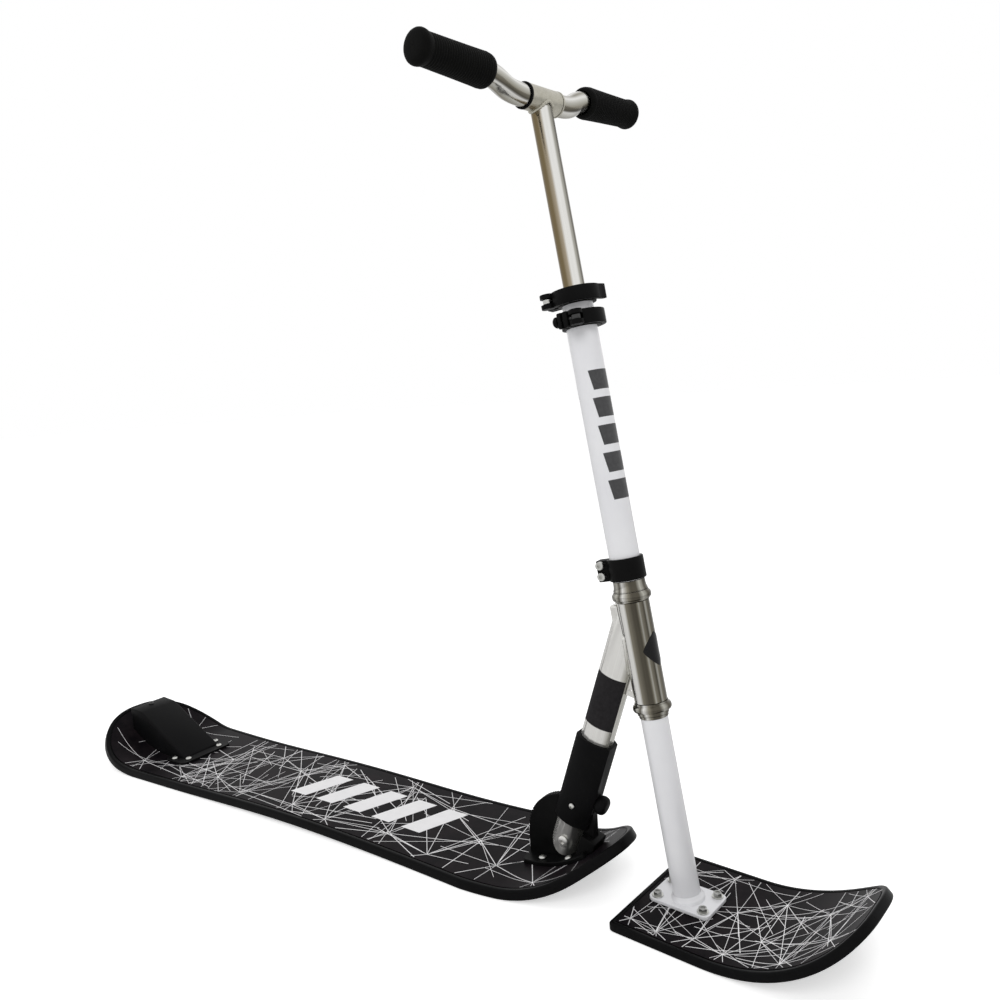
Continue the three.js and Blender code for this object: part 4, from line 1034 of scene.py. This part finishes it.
def wrapped(radius, outline, thickness, rows=10):
    """A thin plate bent round a tube: outline gives the angles at its heights."""
    sections = []
    for height, start, end in outline:
        rim = arc((0, 0), radius + thickness, start, end, rows) + arc((0, 0), radius - 0.2, end, start, rows)
        sections.append([Vector((x, y, height)) for x, y in rim])
    return lofted(sections)


lozenge = []
for step in range(25):
    rise = -math.cos(math.pi * step / 24)
    half = badge_reach * max(1 - abs(rise) ** 1.25, 0.004) ** 0.8
    lozenge.append((badge_at + badge_height * rise, -half, half))
badge_black, shader, place = surface("badge_black", (0.002, 0.002, 0.0025), 0.25, gloss=0.25)
join(grain(place, 300, 3) * 0.2 + 0.16, shader.inputs["Roughness"])
fitted(
    wrapped(head_tube_radius, lozenge, badge_thickness), "head_badge", badge_black, "strut_frame",
    column, [],
)

# Headset cups, dust cap, crown race and lower bearing. Turned rings, all but the bearing
# polished: the cups are pressed on the head tube's ends and the flared cap covers the upper
# bearing.
steer_at_rest = math.radians(-5.7)
steered = column @ Matrix.Rotation(steer_at_rest, 4, "Z")
# Painted reflections: bright highlights and dark lines round the cups, set by the angle round the axis.
cup_metal = polished("polished_cups", foot, column_axis, [
    (0, bright_reflection), (0.15, shade), (0.3, half_lit_reflection), (0.38, deep_painted_shade), (0.43, half_lit_reflection), (0.47, deep_painted_shade),
    (0.5, bright_reflection), (0.54, shade), (0.58, deep_painted_shade), (0.64, deep_painted_shade), (0.68, half_lit_reflection), (0.73, deep_painted_shade),
    (0.8, deep_painted_shade), (0.9, half_lit_reflection), (1, bright_reflection),
])
upper_cup = [
    (15, 0), (17.4, 0), (18, 0.5), (18.2, 1.4), (19.4, 2), (20, 2.8), (20.2, 4), (20.2, 6.4),
    (19.9, 7.6), (19.2, 8.4), (18, 10), (17.9, 10), (17.9, 1.6), (15, 1.6), (15, 0),
]
lower_cup = [
    (16.1, 0), (16.4, 0.3), (16.4, 3.4), (18, 3.8), (19.5, 4.5), (20.1, 5.6), (20.2, 7), (20, 8.6),
    (19.3, 9.8), (18.2, 10.5), (17.6, 11), (17.6, 12.6), (17.3, 13), (15, 13), (15, 11.4),
    (16, 11.4), (16, 0), (16.1, 0),
]
dust_cap = [
    (14.6, 0), (17.6, 0), (17.8, 0.4), (17.8, 1.6), (17.3, 2.6), (16.9, 4), (16.6, 6.5), (16.5, 11),
    (16.2, 11.4), (14.6, 7.6), (14.6, 0),
]
for name, outline, low, body, place, slot in (
    ("upper_cup", upper_cup, 315.3, "strut_frame", column, "polished_aluminium"),
    ("lower_cup", lower_cup, 196.2, "strut_frame", column, "polished_aluminium"),
    ("dust_cap", dust_cap, 325.6, "steering_column", steered, "steel"),
):
    shape = revolved([(radius, low + rise) for radius, rise in outline], 96)
    fitted(shape, f"{name}_turned", cup_metal, body, place, [name])
race_bore, race_radius, race_low, race_high = 14.6, 15.3, 192.9, 195.9
fitted(
    pipe(race_bore, race_radius, race_low, race_high, 0.3), "crown_race_turned", cup_metal,
    "steering_column", steered, ["crown_race"],
)
bearing_bore, bearing_radius, bearing_low, bearing_high = 14.7, 15.8, 199, 204
fitted(
    pipe(bearing_bore, bearing_radius, bearing_low, bearing_high, steps=64), "lower_bearing_ring",
    steel, "strut_frame", column, ["lower_race"],
)

# Fork tube and base plate. White painted steel: the tube is welded to a plate with rounded
# corners by a bead all round, and four bolts hold the plate to the ski.
fork_radius, fork_bore, fork_top = 14.3, 11.9, 389.9
ski_level = steered @ Matrix.Rotation(rake, 4, "Y")
plate_length, plate_width, plate_thick, plate_corner = 69, 46.6, 4, 7
bolt_hole = 2.9
bolt_spots = [(26, 16), (26, -16), (-26, 16), (-26, -16)]

white_paint = finish(
    "white_paint", (16, 4, 0.6), ((0.76, 0.76, 0.79), (0.88, 0.88, 0.89)), (0.25, 0.15),
    ((240, 3), 0.0001, 0.35), coat=0.4,
)
white_paint.node_tree.nodes["Principled BSDF"].inputs["Coat Roughness"].default_value = 0.15

floor_cut = turned(block(-60, 60, -60, 60, -60, seat), Matrix.Rotation(rake, 4, "Y"))
fitted(
    combined(pipe(fork_bore, fork_radius, -6, fork_top), "DIFFERENCE", floor_cut),
    "fork_tube_painted", white_paint, "steering_column", steered, ["fork_tube"],
)


def rounded_rectangle(length, width, radius, steps=8):
    """Outline of a rectangle with rounded corners."""
    x, y = length / 2 - radius, width / 2 - radius
    corners = (((x, y), 0), ((-x, y), 90), ((-x, -y), 180), ((x, -y), 270))
    return [point for centre, start in corners for point in arc(centre, radius, start, start + 90, steps)]


plate_outline = rounded_rectangle(plate_length, plate_width, plate_corner)
plate = soften(extruded(plate_outline, -plate_thick, 0), 0.7, 60)
bead = revolved([
    (14.5, -5), (18.4, -5), (17.9, 0.6), (17.3, 1.4), (16.4, 2.3), (15.7, 3.4), (15.1, 4.6),
    (14.6, 5), (14.5, -5),
], 72)
along_fork = Matrix.Rotation(-rake, 4, "Y")
bead = combined(turned(bead, along_fork), "DIFFERENCE", block(-40, 40, -40, 40, -40, -2))
plate = combined(
    plate, "DIFFERENCE", turned(rod(fork_radius + seat, -30, 30), along_fork),
    *[turned(rod(bolt_hole, -10, 10, 24), at(x, y, 0)) for x, y in bolt_spots],
)
fitted(
    joined(plate, bead), "base_plate_welded", white_paint, "steering_column", ski_level,
    ["base_plate"],
)

# Ski bolts. Hexagon heads with dished tops and a dull plating, on bright zinc washers; plain
# shanks go through the base plate into the inserts of the ski.
washer_top, hex_top, hex_corner = 1.1, 4.7, 4.62


def hexagon_head():
    """A hexagon head with chamfered corners and a dished top, standing on its washer."""
    chamfer = [(0, washer_top), (hex_top, washer_top), (hex_top, 3.9), (3.9, hex_top), (0, hex_top)]
    head = combined(hexagon(hex_corner, washer_top, hex_top), "INTERSECT", revolved(chamfer, 48))
    return combined(head, "DIFFERENCE", rod(2.3, 3.9, 6, 32))


washer = [
    (0, -10.8), (2.5, -10.8), (2.5, 0), (5.8, 0), (6, 0.2), (6, 0.9), (5.8, washer_top),
    (2, washer_top), (0, washer_top),
]
plated = finish(
    "plated_heads", (260, 2, 0.6), ((0.03, 0.03, 0.03), (0.6, 0.6, 0.58)), (0.3,), metallic=1.0,
)
bolt_places = [at(x, y, seat) for x, y in bolt_spots]
ski_bolts = [f"ski_bolt_{number}" for number in range(1, 5)]
fitted(
    repeated(lambda: revolved(washer, 48), bolt_places), "ski_bolt_washers", steel, "steering_column",
    ski_level, ski_bolts,
)
fitted(
    repeated(hexagon_head, bolt_places), "ski_bolt_heads", plated, "steering_column", ski_level,
    ski_bolts,
)

# Steering ski. A short board like the deck, square at the rear and turned up in front, with
# the same raised border, black film and printed lines.
ski = Board(
    half_width=78.5, waist=0, thickness=8.3, camber=0, contact=20,
    rear={"start": -40, "length": 7.6, "power": 2.6, "flat": 73.5, "flare": 0,
          "bend": -47.6, "radius": 1, "angle": 0},
    front={"start": 77, "length": 141, "power": 2.8, "flat": 3, "flare": 0,
           "bend": 52, "radius": 192, "angle": 45.5},
)
ski_stack = 13.7
on_ski = ski_level @ shifted(0, 0, -ski_stack)
fitted(
    ski.slab(rimmed(ski, 2, 6, 1.2)), "ski_board_shell", board_black, "steering_column", on_ski,
    ["ski_board"],
)
fitted(
    ski.slab(sheet_layers(ski, 6.4)), "ski_sheet_film", sheet_black, "steering_column", on_ski,
    ["ski_top_sheet"],
)
ski_hubs = [
    (-32, -60), (-22, 44), (0, -64), (24, 60), (36, -52), (52, 8), (70, -60), (92, 42), (96, -28),
    (132, -62), (150, 22), (176, -34), (186, 40),
]
fitted(
    joined(*star_lines(ski, ski_hubs, 5, 105, (0.4, 0.75), 8, 22, (-40, 190))),
    "ski_print_lines", ink_white, "steering_column", on_ski, [],
)

# Outer tube. White painted steel like the fork tube that it clamps on, with plain slanted
# dark bars printed down its front.
outer_radius, outer_bore, outer_low, outer_high = 15.9, 14.7, 334.9, 637.9
fitted(
    pipe(outer_bore, outer_radius, outer_low, outer_high, 0.3), "outer_tube_painted", white_paint,
    "steering_column", steered, ["outer_tube"],
)
ink_dark = finish("print_dark", (300, 3), ((0.02, 0.02, 0.022), (0.06, 0.06, 0.062)), (0.4,))
mark_count, mark_from, mark_spacing, mark_half, mark_reach, mark_slant = 5, 431, 28, 10, 58, 5
marks = []
for number in range(mark_count):
    slanted = []
    for step in range(17):
        rise = step / 8 - 1
        height = mark_from + number * mark_spacing + mark_half * rise
        slanted.append((height, -mark_reach - mark_slant * rise, mark_reach - mark_slant * rise))
    marks.append(wrapped(outer_radius, slanted, 0.05, 24))
fitted(joined(*marks), "tube_print_bars", ink_dark, "steering_column", steered, [])

# Clamp of the outer tube. A black forged ring with two ears, drawn together on the tube by
# two socket-head screws at the back.
clamp_at, clamp_height, clamp_radius, clamp_reach, clamp_ear, clamp_slit = 337.8, 22.7, 19, 30, 5.6, 2.4


def split_clamp(radius, height, ear_reach, ear_thickness, slit, holes, hole_at):
    """A split ring with two ears on +X, bored for the outer tube and rounded all over."""
    face = slit / 2 + ear_thickness
    ears = soften(block(outer_radius - 3, ear_reach, -face, face, 0, height), 1.8, 40, 4)
    ring = soften(rod(radius, 0, height, 96), 0.8, 40, 3)
    return combined(
        combined(ring, "UNION", ears), "DIFFERENCE", rod(outer_radius + seat, -5, height + 5, 96),
        block(0, ear_reach + 5, -slit / 2, slit / 2, -5, height + 5),
        *[turned(rod(bolt_hole, -30, 30, 24), at(hole_at, 0, z) @ sideways) for z in holes],
    )


def cap_screw(shank):
    """A socket-head screw standing on z = 0."""
    outline = [(0, -shank), (2.5, -shank), (2.5, 0), (4.1, 0), (4.25, 0.2), (4.25, 4.6), (3.9, 5), (0, 5)]
    return combined(revolved(outline, 40), "DIFFERENCE", hexagon(2.3, 2.4, 9))


clamp_turn = steered @ shifted(0, 0, clamp_at) @ Matrix.Rotation(math.radians(-165), 4, "Z")
screw_heights = (6.4, 17.8)
screw_at, screw_shank = 24.75, 14.2
clamp_face = clamp_slit / 2 + clamp_ear + seat
screw_places = [at(screw_at, clamp_face, z) @ sideways.inverted() for z in screw_heights]
clamp = split_clamp(
    clamp_radius, clamp_height, clamp_reach, clamp_ear, clamp_slit, screw_heights, screw_at
)
fitted(
    clamp, "stem_clamp_forging", black_metal, "steering_column", clamp_turn, ["stem_clamp"],
)
fitted(
    repeated(lambda: cap_screw(screw_shank), screw_places), "stem_clamp_screw_pair", steel,
    "steering_column", clamp_turn, ["stem_clamp_screw_1", "stem_clamp_screw_2"],
)

# Quick releases. Two black collars at the top of the outer tube, each drawn tight by a cam
# lever that hugs it: the lever turns on a pin in the eye of a cross bolt with a round nut.
collar_height, collar_radius, ear_reach, ear_thickness, collar_slit = 16, 20, 31, 5, 3
lever_at, cam_radius, cam_gap, handle_inner, handle_outer = 26, 7, 5.8, 20.8, 25.8
collar_face = collar_slit / 2 + ear_thickness
pin_across = collar_face + cam_radius + 0.8
lever_half, lever_sweep = 7.5, 152
eye_radius, pin_radius = 4.6, 1.6
nut_outline = [(0, 0), (5.3, 0), (5.6, 0.4), (5.6, 4), (4.6, 5.3), (0, 5.3)]


def lever_shape(flare):
    """A cam with a mouth for the eye and a curved handle; its tip is rounded or flared."""
    start = math.degrees(math.atan2(pin_across, lever_at))
    end = start + lever_sweep
    outline = arc((0, 0), handle_outer, start, end, 40)
    out = Vector(polar(1, end))
    ahead = Vector(polar(1, end + 90))
    if flare:
        for radius, wide, far in (
            (handle_outer, 0.25, 0.6), (handle_outer, 0.4, 1), (handle_inner, 0.4, 1),
            (handle_inner, 0.18, 0.55),
        ):
            outline.append(tuple(out * (radius + wide * flare) + ahead * flare * far))
    else:
        outline += arc(tuple(out * (handle_inner + handle_outer) / 2), 2.5, end, end + 180, 8)[1:-1]
    outline += arc((0, 0), handle_inner, end, start, 40)
    handle = soften(extruded(outline, -lever_half, lever_half), 0.9, 50, 3)
    pin_place = at(lever_at, pin_across, 0)
    cam = turned(soften(rod(cam_radius, -lever_half, lever_half), 0.8, 50, 3), pin_place)
    mouth = turned(rod(cam_radius + 1, -cam_gap / 2, cam_gap / 2), pin_place)
    whole = combined(combined(handle, "UNION", cam), "DIFFERENCE", mouth)
    return joined(whole, turned(rod(pin_radius, -lever_half + 0.3, lever_half - 0.3, 24), pin_place))


def quick_release(side, height, angle, flare):
    """One collar with its eye bolt, nut and lever, turned to its place on the tube."""
    centre = steered @ shifted(0, 0, height) @ Matrix.Rotation(math.radians(angle), 4, "Z")
    ring = split_clamp(
        collar_radius, collar_height, ear_reach, ear_thickness, collar_slit, [collar_height / 2], lever_at
    )
    fitted(
        turned(ring, at(0, 0, -collar_height / 2)), f"{side}_collar_ring", black_metal,
        "steering_column", centre, [f"{side}_collar"],
    )
    bolt = rod(2.5, -collar_face - 6, pin_across - 3, 32)
    eye = pipe(pin_radius + seat, eye_radius, -2.5, 2.5, 0.5, 40)
    fitted(
        joined(
            turned(bolt, at(lever_at, 0, 0) @ sideways.inverted()), turned(eye, at(lever_at, pin_across, 0)),
        ), f"{side}_eye_bolt_forged", steel if side == "upper" else dark_steel,
        "steering_column", centre, [f"{side}_eye_bolt"],
    )
    nut_face = collar_face + seat
    nut = revolved([(radius, nut_face + rise) for radius, rise in nut_outline], 48)
    nut = combined(
        nut, "DIFFERENCE", rod(2.8, 0, nut_face + 3.6, 24), hexagon(2.2, nut_face + 4, nut_face + 9),
    )
    fitted(
        turned(nut, at(lever_at, 0, 0) @ sideways), f"{side}_lever_nut_turned",
        black_metal, "steering_column", centre, [f"{side}_lever_nut"],
    )
    fitted(
        lever_shape(flare), f"{side}_lever_forged", black_metal, f"{side}_quick_release", centre,
        [f"{side}_lever"],
    )


quick_release("lower", outer_high - 32, -91, 0)
quick_release("upper", outer_high - 8, -165, 9)

# Stem. The sliding inner tube of polished aluminium with a short cross tube welded on top,
# which takes the two handlebars.
stem_radius, stem_bore, stem_foot, bar_height = 11.1, 9.6, 504.9, 829.9
cross_radius, cross_half, cross_bore = 12.5, 24, 11.4
# Amber, tan and sand are brownish painted reflection tones; the stem's bands are painted reflections round
# its axis.
amber, tan, sand = (0.16, 0.12, 0.06), (0.2, 0.155, 0.085), (0.4, 0.34, 0.25)
stem_metal = polished("polished_stem", foot, column_axis, [
    (0, bright_reflection), (0.12, shade), (0.24, bright_reflection), (0.32, half_lit_reflection), (0.38, amber), (0.49, tan),
    (0.55, sand), (0.585, bright_reflection), (0.67, bright_reflection), (0.7, half_lit_reflection), (0.75, deep_painted_shade), (0.82, shade),
    (0.9, bright_reflection), (1, bright_reflection),
])
cross_metal = finish(
    "satin_cross_tube", (130, 5, 0.65), ((0.3, 0.285, 0.225), (0.62, 0.6, 0.53)), (0.25, 0.25),
    ((900, 3), 0.00008, 0.4), metallic=1.0,
)
loop = []
for x, y in circle(stem_radius, 72):
    loop.append(Vector((x, y, bar_height - math.sqrt(cross_radius**2 - x**2))))
weld_radius, weld_ripple = 2, 0.16
weld = swept(loop, weld_radius, weld_ripple)
cross = pipe(cross_bore, cross_radius, -cross_half, cross_half, 0.4)
fitted(
    pipe(stem_bore, stem_radius, stem_foot, bar_height - 10), "stem_tube_drawn", stem_metal,
    "handlebar", steered, ["stem_tube"],
)
fitted(
    joined(turned(cross, at(0, 0, bar_height) @ sideways), weld),
    "cross_tube_welded", cross_metal, "handlebar", steered, ["stem_tube"],
)

# Handlebars. Bent polished tubes that plug into the cross tube; each runs straight, rises
# through a soft bend and runs straight again to its end. A ring sits on each at the cross
# tube's mouth.
bar_radius, bar_wall = 11.1, 1.6
bend_start, bend_end, bar_rise, pull_share = 29, 88, 12.6, 0.62
inner_end, bar_end, end_rise = 2, 168.5, 15.2
pull = (bend_end - bend_start) * pull_share
outward = Vector((0, bar_end - bend_end, end_rise - bar_rise)).normalized()
handles = (
    Vector((0, bend_start, 0)), Vector((0, bend_start + pull, 0)),
    Vector((0, bend_end, bar_rise)) - outward * pull, Vector((0, bend_end, bar_rise)),
)
path = [Vector((0, inner_end, 0))]
for step in range(61):
    t = step / 60
    weights = ((1 - t) ** 3, 3 * t * (1 - t) ** 2, 3 * t * t * (1 - t), t**3)
    path.append(sum((handle * weight for handle, weight in zip(handles, weights)), Vector()))
path.append(Vector((0, bar_end, end_rise)))
ways = [0]
for first, second in zip(path, path[1:]):
    ways.append(ways[-1] + (second - first).length)
bar_length = ways[-1]


def on_bar(way):
    """Centre and heading at a way along the bar, and straight on past its end."""
    step = 0
    while step < len(path) - 2 and way > ways[step + 1]:
        step += 1
    heading = (path[step + 1] - path[step]).normalized()
    return path[step] + heading * (way - ways[step]), heading


def along_bar(profile, sides=48):
    """A body of revolution whose axis follows the bar: (radius, way) pairs."""
    sections = []
    for radius, way in profile:
        centre, heading = on_bar(way)
        lift = Vector((0, -heading.z, heading.y))
        sections.append([centre + Vector((x, 0, 0)) + lift * y for x, y in circle(radius, sides)])
    return lofted(sections)


bar_place = steered @ shifted(0, 0, bar_height)
bar_across = (bar_place.to_3x3() @ Vector((0, 1, 0))).normalized()
bar_up = (bar_place.to_3x3() @ Vector((0, 0, 1))).normalized()


def unbent(centred):
    """Takes the rise of the bars off, so that the painted reflection streaks follow their bend."""
    along = centred.node(
        "ShaderNodeVectorMath", {"operation": "DOT_PRODUCT"}, {0: centred, 1: bar_across}, output="Value",
    )
    away = along.maths("ABSOLUTE", along)
    bend = away.node(
        "ShaderNodeMapRange", {"interpolation_type": "SMOOTHSTEP"},
        {"Value": away, 1: bend_start / 1000, 2: bend_end / 1000, 3: 0, 4: bar_rise / 1000},
    )
    rise = bend.node("ShaderNodeVectorMath", {"operation": "SCALE"}, {0: bar_up, "Scale": bend})
    return centred.node("ShaderNodeVectorMath", {"operation": "SUBTRACT"}, {0: centred, 1: rise})


# Painted reflections: light and dark bands round the bars, set by the angle round their axis.
bar_metal = polished("polished_bars", foot + column_axis * bar_height / 1000, bar_across, [
    (0, half_lit_reflection), (0.06, shade), (0.1, deep_painted_shade), (0.13, bright_reflection), (0.2, half_lit_reflection), (0.27, shade), (0.31, bright_reflection),
    (0.35, deep_painted_shade), (0.4, half_lit_reflection), (0.48, bright_reflection), (0.53, shade), (0.57, deep_painted_shade), (0.6, bright_reflection), (0.68, half_lit_reflection),
    (0.72, deep_painted_shade), (0.78, bright_reflection), (0.86, shade), (0.93, bright_reflection), (1, half_lit_reflection),
], straightened=unbent)


def bar_tube():
    """A bent tube with open ends."""
    outside = [(bar_radius, way) for way in ways]
    inside = [(bar_radius - bar_wall, way) for way in reversed(ways)]
    return along_bar(outside + inside + outside[:1])


ring_low, ring_high, ring_bore, ring_radius = 24.6, 26.7, 11.4, 12.9
hands = (
    ("left", bar_place, cross_metal),
    ("right", bar_place @ Matrix.Diagonal((1, -1, 1, 1)), moulded_black),
)
for side, hand, ring_finish in hands:
    fitted(
        bar_tube(), f"{side}_bar_bent", bar_metal, "handlebar", hand, [f"{side}_bar"],
    )
    fitted(
        pipe(ring_bore, ring_radius, ring_low, ring_high, 0.3, 64), f"{side}_bar_ring_moulded",
        ring_finish, "handlebar", hand @ sideways.inverted(), [f"{side}_bar_ring"],
    )

# Grip. A ribbed rubber sleeve pushed on each bar, with a small inner flange, two dozen
# fine ribs and a thicker domed end.
grip_length, grip_bore, rib_count = 92, 11.4, 24
grip_from = bar_length - grip_length
rib_from, rib_to = grip_from + 7.4, bar_length - 10


def grip_sleeve():
    """Rounded inner end, ribs on a soft taper, end flange and dome, then the bore."""
    mouth = (12.1, grip_from)
    profile = [mouth]
    for t in (0, 0.15, 0.3, 0.45, 0.6, 0.8, 1):
        profile.append((16.3 - 4.2 * (1 - t) ** 2, grip_from + 7 * t**1.7))
    pitch = (rib_to - rib_from) / rib_count
    for rib in range(rib_count):
        body = 16.5 - 1.8 * (rib / rib_count) ** 0.8
        for drop, share in ((0.55, 0.15), (0.1, 0.35), (0, 0.55), (0.1, 0.78), (0.55, 0.98)):
            profile.append((body - drop, rib_from + (rib + share) * pitch))
    profile += [(14.5, rib_to + 0.8), (14.9, rib_to + 2.4), (15.6, rib_to + 4.6), (15.9, rib_to + 6.8)]
    for radius, past in (
        (15.9, -2), (15.5, -0.4), (14.5, 1.1), (12.9, 2.3), (10.5, 3.1), (6, 3.4), (0.4, 3.5),
        (0.4, seat), (grip_bore, seat),
    ):
        profile.append((radius, bar_length + past))
    profile += [(grip_bore, bar_length - step * 7) for step in range(1, 11)]
    profile += [(11.7, grip_from + step) for step in (18, 15, 12, 9, 6, 3)]
    return along_bar(profile + [mouth])


rubber = finish(
    "grip_rubber", (190, 5, 0.7), ((0.0015, 0.0015, 0.0015), (0.007, 0.007, 0.0065)), (0.45, 0.25),
    ((1500, 2), 0.00015, 0.5), gloss=0.04,
)
for side, hand, _ in hands:
    fitted(
        grip_sleeve(), f"{side}_grip_ribbed", rubber, "handlebar", hand, [f"{side}_grip"],
    )

# Pieces inside the tubes. The pivot's bush, the lock pin with its spring and plug, the upper
# bearing ring and the guide bushes keep their own shape and take the fitting materials.
for material, names in (
    (steel, ("pivot_bush", "lock_spring", "lock_pin", "upper_race")),
    (moulded_black, ("spring_plug", "top_bush", "foot_bush")),
):
    for name in names:
        frame["nodes"][name].data.materials.clear()
        frame["nodes"][name].data.materials.append(material)
